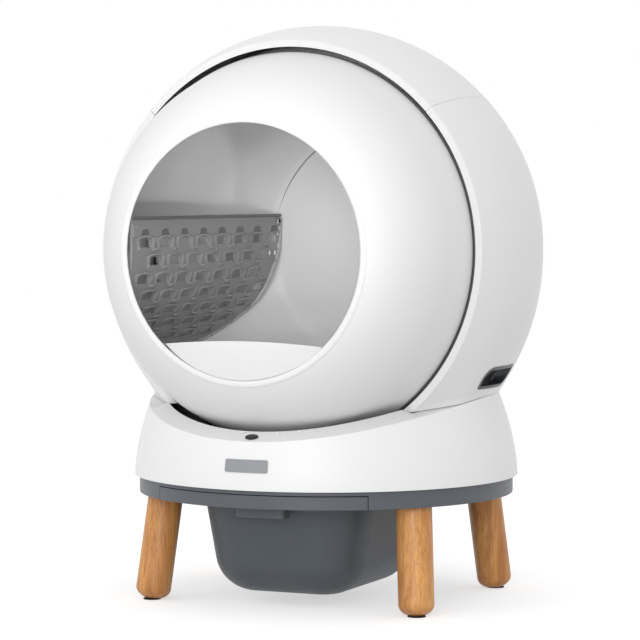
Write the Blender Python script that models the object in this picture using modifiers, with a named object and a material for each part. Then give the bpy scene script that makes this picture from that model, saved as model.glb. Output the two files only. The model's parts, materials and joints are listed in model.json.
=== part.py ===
# Self cleaning litter box: a round drum turns inside a fixed shell, over a base
# with a waste drawer, on four wooden legs. Metres, +Z up, the mouth faces -Y.
import bpy
import bmesh
from math import asin, cos, pi, radians, sin, sqrt, tan
from mathutils import Matrix, Vector

# Clearances
FIT = 0.0003
OVERRUN = 0.004
MERGE = 0.00005

# Round pieces
TURN_STEPS = 56
ROD_STEPS = 20
SMALL_STEPS = 12
CORNER_STEPS = 5
SMOOTH_ANGLE = radians(35)

# Drum axis and shell
AXIS_HEIGHT = 0.415
SHELL_RADIUS = 0.2615
SHELL_CROWN = 0.2632
SHELL_CENTRE_Y = -0.009
SHELL_WALL = 0.0065
RIM_Y = -0.111
CREASE_Y = -0.065
REAR_Y = 0.238
WAIST_RADIUS = 0.207
WAIST_HEIGHT = 0.243
WAIST_CENTRE_Y = -0.005
FLARE_POWER = 2.2
FRONT_COLUMNS = 8
REAR_COLUMNS = 16
LOWER_ROWS = 9
UPPER_ROWS = 9
SEAM_PASSES = 5

# Top cover
COVER_ANGLE = radians(42.4)
COVER_BACK_Y = 0.095
COVER_GAP = 0.0006

# Carry grips in the shell's sides
GRIP_HEIGHT = 0.267
GRIP_TALL = 0.023
GRIP_FRONT_ANGLE = radians(-11)
GRIP_BACK_ANGLE = radians(9.5)
GRIP_DEPTH = 0.018
GRIP_WALL = 0.0022
GRIP_PROUD = 0.0006
GRIP_COLUMN_SHARES = (0, 0.03, 0.10, 0.30, 0.50, 0.70, 0.90, 0.97, 1)
GRIP_TALL_SHARES = (0.50, 0.84, 1, 1, 1, 1, 1, 0.84, 0.50)

# Base housing
BASE_RADIUS = 0.229
BASE_BOTTOM = 0.1463
BASE_WALL = 0.0035
BASE_FLANGE = 0.012
BASE_POWER = 1.7
RIM_HEIGHT = 0.245
RIM_DIP = 0.047
RIM_LEVEL_Y = 0.040
LEDGE_WIDTH = 0.020
LEDGE_RISE = 0.010
LEDGE_FADE = 0.014
BASE_COLUMNS = 72
WALL_ROWS = 5

# Drum
MOUTH_RADIUS = 0.1445
LIP_BEAD = 0.004
LIP_Y = -0.234
DOME_RADIUS = 0.2298
DOME_EDGE_ANGLE = radians(6.5)
DOME_WALL = 0.003
DOME_STEPS = 7
BEAD_STEPS = 5
TRACK_BACK_Y = -0.0995
BOWL_RADIUS = 0.243
BOWL_WALL = 0.003
BOWL_FRONT_Y = -0.104
BOWL_FLANGE = 0.003
BOWL_DISC_Y = 0.180
BOWL_DISC_RADIUS = 0.150
BOWL_STEPS = 12

# Waste port in the drum's left side
PORT_FRONT_Y = -0.075
PORT_BACK_Y = 0.022
PORT_BOTTOM = -0.078
PORT_TOP = 0.028
PORT_SEAL_WIDTH = 0.006
PORT_SEAL_THICK = 0.002

# Sifter
SIFTER_X = 0.143
SIFTER_TOP = 0.038
SIFTER_STRAIGHT = 0.046
SIFTER_BEND_RADIUS = 0.110
SIFTER_BEND = radians(38)
SIFTER_BEND_STEPS = 6
SIFTER_REACH = 0.085
SIFTER_THICK = 0.003
SIFTER_FRONT_Y = -0.228
SIFTER_CLEAR = 0.0004
SLOT_ROW_PITCH = 0.021
SLOT_PITCH = 0.050
SLOT_LONG = 0.038
SLOT_TALL = 0.011
SLOT_FIRST_ROW = 0.024
SLOT_FIRST_Y = -0.195
SLOT_ROWS = 7
SLOT_COLUMNS = 8

# Entry lip across the bottom of the mouth
ENTRY_DROP = 0.1005
ENTRY_ARCH = 0.0052
ENTRY_LEAN = radians(10)
ENTRY_THICK = 0.003
ENTRY_FRONT_Y = -0.2345
ENTRY_STEPS = 8

# Ring gear and pinion
GEAR_MODULE = 0.005
RING_TEETH = 98
RING_TURN_SHARE = 0.5
PINION_TEETH = 10
GEAR_ADDENDUM = 0.0016
GEAR_DEDENDUM = 0.0020
GEAR_BACKLASH = 0.0008
GEAR_FLANK = radians(20)
GEAR_FRONT_Y = 0.030
GEAR_WIDTH = 0.010
PINION_ANGLE = radians(-60)
SHAFT_RADIUS = 0.004
GEARBOX_GAP = 0.003
GEARBOX_LONG = 0.028
GEARBOX_HALF = 0.020
MOTOR_RADIUS = 0.0175
MOTOR_LONG = 0.050
MOTOR_STEPS = 24

# Rear hub
HUB_FLANGE_RADIUS = 0.030
HUB_FLANGE_THICK = 0.006
HUB_PIN_RADIUS = 0.010
BEARING_RADIUS = 0.022
BEARING_LONG = 0.026
HUB_PIN_END_GAP = 0.003

# Track rollers
ROLLER_RADIUS = 0.012
ROLLER_WIDTH = 0.009
ROLLER_Y = -0.105
ROLLER_ANGLE = radians(28)
AXLE_RADIUS = 0.003
BRACKET_HALF = 0.013
BRACKET_EAR = 0.004
BRACKET_ABOVE = 0.0045
ROLLER_SIDE_GAP = 0.001

# Base pan, deck and chute
PAN_RADIUS = 0.2233
PAN_BOTTOM = 0.1252
PAN_TOP = 0.146
PAN_PLATE = 0.004
PAN_WALL = 0.0037
PAN_SLOT_HALF = 0.1125
PAN_SLOT_BACK = 0.112
DECK_THICK = 0.004
DECK_EDGE_GAP = 0.0018
DECK_BOTTOM = BASE_BOTTOM + BASE_WALL + FIT
DECK_TOP = DECK_BOTTOM + DECK_THICK
CHUTE_HALF = 0.066
CHUTE_FRONT_Y = -0.080
CHUTE_BACK_Y = 0.028
CHUTE_WALL = 0.003
CHUTE_BOTTOM = 0.1415
CHUTE_TOP = 0.165
CHUTE_FLANGE = 0.008

# Waste drawer
PANEL_HALF_ANGLE = radians(36)
PANEL_TALL = 0.0153
PANEL_GAP = 0.0007
PANEL_COLUMNS = 18
TRAY_HALF = 0.128
TRAY_BACK_Y = 0.122
TRAY_THICK = 0.003
RUNNER_HALF = 0.004
RUNNER_X = 0.117
RUNNER_TALL = 0.0034
RUNNER_FRONT_Y = -0.150
RUNNER_BACK_Y = 0.126
BIN_HALF = 0.110
BIN_FRONT_Y = -0.168
BIN_BACK_Y = 0.100
BIN_BOTTOM = 0.017
BIN_TAPER = 0.023
BIN_CORNER = 0.072
BIN_FLOOR_ROUND = 0.034
BIN_WALL = 0.0025
BIN_RIM = 0.006
BIN_RIM_THICK = 0.0025
BIN_FLOOR_STEPS = 6
PULL_HALF = 0.030
PULL_FRONT_Y = -0.190
PULL_BOTTOM = 0.111
PULL_WALL = 0.003

# Legs
CORNERS = ((-1, -1), (1, -1), (-1, 1), (1, 1))
FOOT_X = 0.169
FOOT_Y = 0.128
LEG_TOP_X = 0.159
LEG_TOP_Y = 0.114
LEG_RADIUS = 0.0207
LEG_END = 0.0135
LEG_STEPS = 24
LEG_END_STEPS = 6
FOOT_PAD_RADIUS = 0.0105
FOOT_PAD_TALL = 0.0012
BOLT_RADIUS = 0.004
BOLT_HEAD_RADIUS = 0.007
BOLT_HEAD_TALL = 0.004
BOLT_DEPTH = 0.025
BOLT_LIFT = 0.0012

# Small pieces on the base
SENSOR_HALF_WIDTH = 0.0074
SENSOR_HALF_DEPTH = 0.0055
SENSOR_THICK = 0.0015
SENSOR_X = 0.002
SENSOR_LEDGE_SHARE = 0.42
ICON_RADIUS = 0.0021
ICON_THICK = 0.0006
ICON_XS = (-0.034, -0.013, 0.030, 0.055)
ICON_LEDGE_SHARE = 0.80
PLATE_HALF_WIDTH = 0.0265
PLATE_BOTTOM = 0.1668
PLATE_TOP = 0.1812
PLATE_THICK = 0.0012
PLATE_X = 0.0015
PLATE_COLUMNS = 6
BOARD_HALF = 0.045
BOARD_FRONT_Y = -0.200
BOARD_BACK_Y = -0.150
BOARD_THICK = 0.0016
INLET_X = 0.060
INLET_HALF_WIDTH = 0.011
INLET_BOTTOM = 0.163
INLET_TOP = 0.177
INLET_REAR_Y = 0.2215
INLET_LONG = 0.024
INLET_WALL = 0.003
INLET_POCKET = 0.012

BOX_COLLECTION = "litter_box"
CUTTER_COLLECTION = "cutters"

FINISHES = {
    "white_plastic": ((0.86, 0.87, 0.87), 0.38, 0.0),
    "grey_plastic": ((0.062, 0.072, 0.086), 0.45, 0.0),
    "drum_grey": ((0.48, 0.49, 0.50), 0.50, 0.0),
    "sifter_grey": ((0.14, 0.145, 0.155), 0.32, 0.0),
    "inner_plastic": ((0.30, 0.31, 0.32), 0.55, 0.0),
    "gear_plastic": ((0.72, 0.71, 0.66), 0.45, 0.0),
    "wood": ((0.52, 0.25, 0.09), 0.42, 0.0),
    "rubber": ((0.03, 0.03, 0.032), 0.80, 0.0),
    "steel": ((0.60, 0.60, 0.62), 0.30, 1.0),
    "black_lens": ((0.012, 0.012, 0.015), 0.10, 0.0),
    "icon_white": ((0.80, 0.82, 0.84), 0.40, 0.0),
    "plate_grey": ((0.36, 0.38, 0.40), 0.42, 0.0),
    "board_green": ((0.05, 0.16, 0.09), 0.50, 0.0),
}


def clear_scene():
    for obj in list(bpy.data.objects):
        bpy.data.objects.remove(obj, do_unlink=True)


def collection(name):
    made = bpy.data.collections.new(name)
    bpy.context.scene.collection.children.link(made)
    return made


def finish(name):
    found = bpy.data.materials.get(name)
    if found:
        return found
    colour, roughness, metallic = FINISHES[name]
    made = bpy.data.materials.new(name)
    made.use_nodes = True
    shader = made.node_tree.nodes["Principled BSDF"]
    shader.inputs["Base Color"].default_value = (*colour, 1.0)
    shader.inputs["Roughness"].default_value = roughness
    shader.inputs["Metallic"].default_value = metallic
    return made


def place(name, data, look, parent=None, location=(0, 0, 0), rotation=None):
    obj = bpy.data.objects.new(name, data)
    obj.location = location
    if rotation:
        obj.rotation_mode = "QUATERNION"
        obj.rotation_quaternion = rotation
    obj.parent = parent
    if look:
        data.materials.append(finish(look))
        bpy.data.collections[BOX_COLLECTION].objects.link(obj)
    else:
        bpy.data.collections[CUTTER_COLLECTION].objects.link(obj)
        obj.hide_render = True
        obj.display_type = "WIRE"
    return obj


def empty(name, location):
    obj = bpy.data.objects.new(name, None)
    obj.location = location
    bpy.data.collections[BOX_COLLECTION].objects.link(obj)
    return obj


def mesh_from(bm, name):
    bmesh.ops.recalc_face_normals(bm, faces=bm.faces)
    mesh = bpy.data.meshes.new(name)
    bm.to_mesh(mesh)
    bm.free()
    mesh.shade_smooth()
    mesh.set_sharp_from_angle(angle=SMOOTH_ANGLE)
    return mesh


def boolean(obj, cutter, operation="DIFFERENCE"):
    modifier = obj.modifiers.new(cutter.name, "BOOLEAN")
    modifier.operation = operation
    modifier.solver = "EXACT"
    modifier.object = cutter


def block(name, low, high, look, parent=None):
    # A box between two corners, given in the parent's space.
    low, high = Vector(low), Vector(high)
    bm = bmesh.new()
    bmesh.ops.create_cube(bm, size=1.0)
    bmesh.ops.scale(bm, vec=high - low, verts=bm.verts)
    return place(name, mesh_from(bm, name), look, parent, (low + high) / 2)


def rod(name, start, end, radius, look, sides=ROD_STEPS, parent=None):
    start, end = Vector(start), Vector(end)
    bm = bmesh.new()
    bmesh.ops.create_cone(bm, cap_ends=True, segments=sides, radius1=radius, radius2=radius,
                          depth=(end - start).length)
    turn = (end - start).to_track_quat("Z", "Y")
    return place(name, mesh_from(bm, name), look, parent, (start + end) / 2, turn)


def turned(name, profile, look, steps=TURN_STEPS, closed=True, parent=None, location=(0, 0, 0),
           rotation=None):
    # profile: (radius, distance along the axis), down the outer side first.
    mesh = bpy.data.meshes.new(name)
    points = [(radius, 0, along) for radius, along in profile]
    edges = [(i, i + 1) for i in range(len(points) - 1)]
    if closed:
        edges.append((len(points) - 1, 0))
    mesh.from_pydata(points, edges, [])
    obj = place(name, mesh, look, parent, location, rotation)
    screw = obj.modifiers.new("turn", "SCREW")
    screw.axis = "Z"
    screw.steps = steps
    screw.render_steps = steps
    screw.use_merge_vertices = True
    screw.merge_threshold = MERGE
    return obj


# Turns a piece's own Z axis to lie along +Y, for what turns with the drum.
ALONG_Y = Vector((0, 1, 0)).to_track_quat("Z", "Y")


def skin(name, rings, look, wrap=False, parent=None, location=(0, 0, 0)):
    # Closed rings of points joined one to the next; the ends are capped unless they wrap.
    bm = bmesh.new()
    rows = [[bm.verts.new(point) for point in ring] for ring in rings]
    pairs = list(zip(rows, rows[1:]))
    if wrap:
        pairs.append((rows[-1], rows[0]))
    for one, two in pairs:
        for i in range(len(one)):
            j = (i + 1) % len(one)
            bm.faces.new((one[i], one[j], two[j], two[i]))
    if not wrap:
        bm.faces.new(rows[0])
        bm.faces.new(rows[-1])
    return place(name, mesh_from(bm, name), look, parent, location)


def arc(centre, radius, start, end, steps):
    # Points of a circle as (first, second) pairs; the angle is counted from the second axis.
    points = []
    for i in range(steps + 1):
        angle = start + (end - start) * i / steps
        points.append((centre[0] + radius * sin(angle), centre[1] + radius * cos(angle)))
    return points


# Shell

RIM_RADIUS = sqrt(SHELL_RADIUS ** 2 - (RIM_Y - SHELL_CENTRE_Y) ** 2)


def shell_section(z):
    # Plan radius and centre of the shell's outer face at a height.
    if z > AXIS_HEIGHT:
        return SHELL_RADIUS * sqrt(1 - ((z - AXIS_HEIGHT) / SHELL_CROWN) ** 2), SHELL_CENTRE_Y
    climb = (z - WAIST_HEIGHT) / (AXIS_HEIGHT - WAIST_HEIGHT)
    share = 1 - (1 - max(climb, 0)) ** FLARE_POWER
    radius = WAIST_RADIUS + (SHELL_RADIUS - WAIST_RADIUS) * share
    return radius, WAIST_CENTRE_Y + (SHELL_CENTRE_Y - WAIST_CENTRE_Y) * share


def shell_point(z, column):
    # Columns run from the front of the plan section, by the crease, to its back.
    low_radius, low_centre = shell_section(min(z, AXIS_HEIGHT))
    crease = asin((CREASE_Y - low_centre) / low_radius)
    if column <= FRONT_COLUMNS:
        angle = -pi / 2 + (crease + pi / 2) * column / FRONT_COLUMNS
    else:
        angle = crease + (pi / 2 - crease) * (column - FRONT_COLUMNS) / REAR_COLUMNS
    radius, centre = shell_section(z)
    x = radius * cos(angle)
    y = centre + radius * sin(angle)
    if y < CREASE_Y and z < AXIS_HEIGHT:
        # The band in front of the crease narrows to the round front rim.
        flared = sqrt(radius ** 2 - (RIM_Y - centre) ** 2)
        rim = sqrt(RIM_RADIUS ** 2 - (z - AXIS_HEIGHT) ** 2)
        x *= 1 - (1 - rim / flared) * (CREASE_Y - y) / (CREASE_Y - RIM_Y)
    return Vector((x, min(y, REAR_Y), z))


def rim_height(y):
    # Height of the base's rim: level at the back, dipping to the front.
    run = max(RIM_LEVEL_Y - y, 0) / (RIM_LEVEL_Y + BASE_RADIUS)
    return RIM_HEIGHT - RIM_DIP * run ** 2


def seam_height(column):
    z = RIM_HEIGHT
    for _ in range(SEAM_PASSES):
        z = rim_height(shell_point(z, column).y) + FIT
    return z


def shell_blank(name):
    # Right half of the shell's face, mirrored and thickened, with its front cut flat.
    columns = range(FRONT_COLUMNS + REAR_COLUMNS + 1)
    seam = [seam_height(column) for column in columns]
    bm = bmesh.new()
    rows = []
    for row in range(LOWER_ROWS):
        share = row / LOWER_ROWS
        heights = [seam[c] + (AXIS_HEIGHT - seam[c]) * share for c in columns]
        rows.append([bm.verts.new(shell_point(z, c)) for z, c in zip(heights, columns)])
    for row in range(UPPER_ROWS):
        z = AXIS_HEIGHT + SHELL_CROWN * sin(pi / 2 * row / UPPER_ROWS)
        rows.append([bm.verts.new(shell_point(z, c)) for c in columns])
    for one, two in zip(rows, rows[1:]):
        for c in columns[:-1]:
            bm.faces.new((one[c], one[c + 1], two[c + 1], two[c]))
    pole = bm.verts.new((0, SHELL_CENTRE_Y, AXIS_HEIGHT + SHELL_CROWN))
    for c in columns[:-1]:
        bm.faces.new((rows[-1][c], rows[-1][c + 1], pole))
    mesh = bpy.data.meshes.new(name)
    bm.to_mesh(mesh)
    bm.free()
    mesh.shade_smooth()
    obj = place(name, mesh, "white_plastic")
    mirror = obj.modifiers.new("mirror", "MIRROR")
    mirror.merge_threshold = MERGE
    wall = obj.modifiers.new("wall", "SOLIDIFY")
    wall.thickness = SHELL_WALL
    wall.offset = -1
    wall.use_even_offset = True
    reach = SHELL_CROWN + OVERRUN
    front = block(name + "_front_cut", (-reach, RIM_Y - reach, 0), (reach, RIM_Y, AXIS_HEIGHT + reach), None)
    boolean(obj, front)
    return obj


def cover_wedge(name, gap):
    # The space of the top cover: a wedge over the drum axis, gap smaller on each side.
    reach = SHELL_CROWN + OVERRUN
    low = AXIS_HEIGHT + gap / cos(COVER_ANGLE)
    top = AXIS_HEIGHT + reach
    outline = [(0, low), (reach, low + reach * tan(COVER_ANGLE)), (reach, top), (-reach, top),
               (-reach, low + reach * tan(COVER_ANGLE))]
    rings = [[(x, y, z) for x, z in outline] for y in (RIM_Y - OVERRUN, COVER_BACK_Y - gap)]
    return skin(name, rings, None)


def grip_block(name, side, grow, depth, proud, look):
    # A rounded slot's solid in the shell's side, from a depth to a little outside it.
    turn = grow / WAIST_RADIUS
    start = GRIP_FRONT_ANGLE - turn
    end = GRIP_BACK_ANGLE + turn
    rings = []
    for along, tall in zip(GRIP_COLUMN_SHARES, GRIP_TALL_SHARES):
        angle = start + (end - start) * along
        half = (GRIP_TALL / 2 + grow) * tall
        ring = []
        for z, out in ((-half, -depth), (half, -depth), (half, proud), (-half, proud)):
            radius, centre = shell_section(GRIP_HEIGHT + z)
            radius += out
            ring.append((side * radius * cos(angle), centre + radius * sin(angle), GRIP_HEIGHT + z))
        rings.append(ring)
    return skin(name, rings, look)


def make_shell():
    shell = shell_blank("lower_shell")
    boolean(shell, cover_wedge("cover_opening", 0))
    cover = shell_blank("top_cover")
    boolean(cover, cover_wedge("cover_outline", COVER_GAP), "INTERSECT")
    for side, word in ((1, "right"), (-1, "left")):
        boolean(shell, grip_block("grip_hole_" + word, side, 0, GRIP_DEPTH + OVERRUN, OVERRUN, None))
        cup = grip_block("grip_cup_" + word, side, -FIT, GRIP_DEPTH, GRIP_PROUD, "grey_plastic")
        depth = GRIP_DEPTH - GRIP_WALL
        boolean(cup, grip_block("grip_pocket_" + word, side, -GRIP_WALL, depth, OVERRUN, None))
    cover.parent = empty("cover_carrier", (0, 0, 0))


# Base housing

def housing_radius(z):
    climb = max(z - BASE_BOTTOM, 0) / (WAIST_HEIGHT - BASE_BOTTOM)
    return BASE_RADIUS - (BASE_RADIUS - WAIST_RADIUS) * climb ** BASE_POWER


def housing_rim(angle):
    # Radius and height of the rim in a direction; angle 0 is the front, -Y.
    radius = WAIST_RADIUS
    for _ in range(SEAM_PASSES):
        height = rim_height(-radius * cos(angle))
        radius = housing_radius(height)
    return radius, height


def ledge_rise(angle):
    # The ledge rises inwards in front of the shell and fades to level at its rim.
    radius, _ = housing_rim(angle)
    ahead = RIM_Y + (radius - LEDGE_WIDTH) * cos(angle)
    return LEDGE_RISE * min(max(ahead / LEDGE_FADE, 0), 1)


def ledge_place(x, share):
    # Point and outward normal on the ledge, share 0 at the rim and 1 at its inner edge.
    angle = asin(x / WAIST_RADIUS)
    radius, height = housing_rim(angle)
    out = Vector((sin(angle), -cos(angle), 0))
    point = out * (radius - LEDGE_WIDTH * share)
    point.z = height + LEDGE_RISE * share
    normal = (out * LEDGE_RISE + Vector((0, 0, 1)) * LEDGE_WIDTH).normalized()
    return point, normal


def make_housing():
    rings = []
    for i in range(BASE_COLUMNS):
        angle = 2 * pi * i / BASE_COLUMNS
        radius, height = housing_rim(angle)
        rise = ledge_rise(angle)
        section = []
        for row in range(WALL_ROWS):
            z = BASE_BOTTOM + (height - BASE_BOTTOM) * row / WALL_ROWS
            section.append((housing_radius(z), z))
        section.append((radius, height))
        section.append((radius - LEDGE_WIDTH, height + rise))
        section.append((radius - LEDGE_WIDTH, height + rise - BASE_WALL))
        section.append((radius - BASE_WALL, height - BASE_WALL - rise * BASE_WALL / LEDGE_WIDTH))
        section.append((housing_radius(BASE_BOTTOM + BASE_WALL) - BASE_WALL, BASE_BOTTOM + BASE_WALL))
        section.append((BASE_RADIUS - BASE_FLANGE, BASE_BOTTOM + BASE_WALL))
        section.append((BASE_RADIUS - BASE_FLANGE, BASE_BOTTOM))
        rings.append([(r * sin(angle), -r * cos(angle), z) for r, z in section])
    housing = skin("base_housing", rings, "white_plastic", wrap=True)
    boolean(housing, drum_clearance())
    boolean(housing, inlet_block("inlet_hole", FIT, None))


def drum_clearance():
    # Room for the drum's front and the shell's rim inside the base's ledge.
    gap = RIM_RADIUS - SHELL_WALL - DOME_RADIUS
    back = [(0, TRACK_BACK_Y), (RIM_RADIUS + FIT, TRACK_BACK_Y), (RIM_RADIUS + FIT, RIM_Y - FIT),
            (DOME_RADIUS + gap, RIM_Y - FIT)]
    dome = [(radius + gap, y) for radius, y in dome_arc(0)[1:]]
    profile = back + dome + [(dome[-1][0], LIP_Y - OVERRUN), (0, LIP_Y - OVERRUN)]
    axis = (0, 0, AXIS_HEIGHT)
    return turned("drum_clearance", profile, None, closed=False, location=axis, rotation=ALONG_Y)


def make_ledge_pieces():
    point, normal = ledge_place(SENSOR_X, SENSOR_LEDGE_SHARE)
    bm = bmesh.new()
    bmesh.ops.create_cone(bm, cap_ends=True, segments=ROD_STEPS, radius1=SENSOR_HALF_WIDTH,
                          radius2=SENSOR_HALF_WIDTH, depth=SENSOR_THICK)
    bmesh.ops.scale(bm, vec=(1, SENSOR_HALF_DEPTH / SENSOR_HALF_WIDTH, 1), verts=bm.verts)
    turn = Vector((0, 0, 1)).rotation_difference(normal)
    centre = point + normal * (SENSOR_THICK / 2 + FIT)
    place("sensor_window", mesh_from(bm, "sensor_window"), "black_lens", None, centre, turn)
    for i, x in enumerate(ICON_XS):
        point, normal = ledge_place(x, ICON_LEDGE_SHARE)
        start = point + normal * FIT
        rod(f"touch_icon_{i + 1}", start, start + normal * ICON_THICK, ICON_RADIUS, "icon_white", SMALL_STEPS)


def make_name_plate():
    rings = []
    for i in range(PLATE_COLUMNS + 1):
        x = PLATE_X - PLATE_HALF_WIDTH + 2 * PLATE_HALF_WIDTH * i / PLATE_COLUMNS
        ring = []
        for z, out in ((PLATE_BOTTOM, FIT), (PLATE_TOP, FIT), (PLATE_TOP, FIT + PLATE_THICK),
                       (PLATE_BOTTOM, FIT + PLATE_THICK)):
            radius = housing_radius(z) + out
            angle = asin(x / BASE_RADIUS)
            ring.append((radius * sin(angle), -radius * cos(angle), z))
        rings.append(ring)
    skin("name_plate", rings, "plate_grey")


def inlet_block(name, grow, look):
    low = (INLET_X - INLET_HALF_WIDTH - grow, INLET_REAR_Y - INLET_LONG - grow, INLET_BOTTOM - grow)
    high = (INLET_X + INLET_HALF_WIDTH + grow, INLET_REAR_Y + grow, INLET_TOP + grow)
    return block(name, low, high, look)


def make_inlet():
    inlet = inlet_block("dc_inlet", 0, "grey_plastic")
    half = INLET_HALF_WIDTH - INLET_WALL
    low = (INLET_X - half, INLET_REAR_Y - INLET_POCKET, INLET_BOTTOM + INLET_WALL)
    high = (INLET_X + half, INLET_REAR_Y + OVERRUN, INLET_TOP - INLET_WALL)
    boolean(inlet, block("inlet_pocket", low, high, None))


# Drum

def dome_arc(inset):
    # Outer face of the drum's front, from the collar's edge to the lip's bead, as (radius, y).
    start = Vector((DOME_RADIUS, -RIM_Y))
    end = Vector((MOUTH_RADIUS + LIP_BEAD * 2, -LIP_Y))
    chord = end - start
    lean = Vector((0, 1)).angle(chord)
    radius = chord.length / 2 / sin(lean - DOME_EDGE_ANGLE)
    centre = start - Vector((cos(DOME_EDGE_ANGLE), sin(DOME_EDGE_ANGLE))) * radius
    final = 2 * lean - DOME_EDGE_ANGLE
    points = []
    for i in range(DOME_STEPS + 1):
        angle = DOME_EDGE_ANGLE + (final - DOME_EDGE_ANGLE) * i / DOME_STEPS
        points.append((centre.x + (radius - inset) * cos(angle), -centre.y - (radius - inset) * sin(angle)))
    return points


def bowl_arc(radius, front_y, end_radius):
    # Sphere about the shell's centre, from the disc's edge forward, as (radius, y).
    back = asin(end_radius / radius)
    front = pi / 2 + asin((SHELL_CENTRE_Y - front_y) / radius)
    return [(r, y + SHELL_CENTRE_Y) for r, y in arc((0, 0), radius, back, front, BOWL_STEPS)]


def make_drum(axis):
    outer = dome_arc(0)
    inner = dome_arc(DOME_WALL)
    bead_centre = (MOUTH_RADIUS + LIP_BEAD, LIP_Y)
    bead = arc(bead_centre, LIP_BEAD, pi / 2, 3 * pi / 2 + pi / 4, BEAD_STEPS)
    profile = [(DOME_RADIUS, TRACK_BACK_Y)] + outer[:-1] + bead
    profile += list(reversed(inner[:-1]))
    profile += [(DOME_RADIUS - DOME_WALL, RIM_Y), (DOME_RADIUS - DOME_WALL, TRACK_BACK_Y)]
    turned("drum_front", profile, "white_plastic", parent=axis, rotation=ALONG_Y)

    flange = DOME_RADIUS - DOME_WALL - FIT
    outside = bowl_arc(BOWL_RADIUS, BOWL_FRONT_Y + BOWL_FLANGE, BOWL_DISC_RADIUS)
    inside = bowl_arc(BOWL_RADIUS - BOWL_WALL, BOWL_FRONT_Y, BOWL_DISC_RADIUS - BOWL_WALL)
    profile = [(0, BOWL_DISC_Y), (BOWL_DISC_RADIUS, BOWL_DISC_Y)] + outside
    profile += [(flange, BOWL_FRONT_Y + BOWL_FLANGE), (flange, BOWL_FRONT_Y)] + list(reversed(inside))
    profile += [(BOWL_DISC_RADIUS - BOWL_WALL, BOWL_DISC_Y - BOWL_WALL), (0, BOWL_DISC_Y - BOWL_WALL)]
    bowl = turned("drum_bowl", profile, "drum_grey", closed=False, parent=axis, rotation=ALONG_Y)
    boolean(bowl, port_block("port_hole", 0))
    make_port_seal(axis)


def port_block(name, grow):
    reach = BOWL_RADIUS + OVERRUN
    return block(name, (-reach, PORT_FRONT_Y - grow, AXIS_HEIGHT + PORT_BOTTOM - grow),
                 (-SIFTER_X, PORT_BACK_Y + grow, AXIS_HEIGHT + PORT_TOP + grow), None)


def make_port_seal(axis):
    # A thin rubber frame round the port, on the bowl's outer face.
    face = bowl_arc(BOWL_RADIUS, BOWL_FRONT_Y + BOWL_FLANGE, BOWL_DISC_RADIUS)
    sides = []
    for grow in (FIT, FIT + PORT_SEAL_THICK):
        scale = 1 + grow / BOWL_RADIUS
        sides.append([(radius * scale, SHELL_CENTRE_Y + (y - SHELL_CENTRE_Y) * scale) for radius, y in face])
    seal = turned("port_seal", sides[1] + list(reversed(sides[0])), "rubber", parent=axis, rotation=ALONG_Y)
    boolean(seal, port_block("seal_outline", PORT_SEAL_WIDTH), "INTERSECT")
    boolean(seal, port_block("seal_hole", 0))


def drum_cavity(name, clear):
    # The space inside the drum, less a clearance.
    front = [(radius, y) for radius, y in dome_arc(DOME_WALL + clear) if y > SIFTER_FRONT_Y]
    back = bowl_arc(BOWL_RADIUS - BOWL_WALL - clear, BOWL_FRONT_Y, BOWL_DISC_RADIUS - BOWL_WALL)
    disc = BOWL_DISC_Y - BOWL_WALL - clear
    profile = [(0, disc), (back[0][0], disc)] + back + front
    narrow = MOUTH_RADIUS - clear
    profile += [(narrow, front[-1][1]), (narrow, SIFTER_FRONT_Y), (0, SIFTER_FRONT_Y)]
    return turned(name, profile, None, closed=False, location=(0, 0, AXIS_HEIGHT), rotation=ALONG_Y)


def sifter_path(run):
    # Point and outward direction of the sifter's section, run metres down from its top edge.
    if run <= SIFTER_STRAIGHT:
        return Vector((-SIFTER_X, 0, SIFTER_TOP - run)), 0
    bend = SIFTER_BEND_RADIUS * SIFTER_BEND
    turn = min((run - SIFTER_STRAIGHT) / SIFTER_BEND_RADIUS, SIFTER_BEND)
    x = -SIFTER_X - SIFTER_BEND_RADIUS * (1 - cos(turn))
    z = SIFTER_TOP - SIFTER_STRAIGHT - SIFTER_BEND_RADIUS * sin(turn)
    rest = max(run - SIFTER_STRAIGHT - bend, 0)
    return Vector((x - rest * sin(turn), 0, z - rest * cos(turn))), turn


def make_sifter(axis):
    bend = SIFTER_BEND_RADIUS * SIFTER_BEND
    runs = [0] + [SIFTER_STRAIGHT + bend * i / SIFTER_BEND_STEPS for i in range(SIFTER_BEND_STEPS + 1)]
    runs.append(SIFTER_STRAIGHT + bend + SIFTER_REACH)
    bm = bmesh.new()
    rows = []
    for run in runs:
        point, _ = sifter_path(run)
        rows.append([bm.verts.new(point + Vector((0, y, 0))) for y in (LIP_Y, BOWL_DISC_Y)])
    for one, two in zip(rows, rows[1:]):
        bm.faces.new((one[0], one[1], two[1], two[0]))
    mesh = bpy.data.meshes.new("sifter")
    bm.to_mesh(mesh)
    bm.free()
    sifter = place("sifter", mesh, "sifter_grey", axis)
    wall = sifter.modifiers.new("wall", "SOLIDIFY")
    wall.thickness = SIFTER_THICK
    wall.offset = 0
    boolean(sifter, drum_cavity("sifter_room", SIFTER_CLEAR), "INTERSECT")
    boolean(sifter, sifter_slots())


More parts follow.
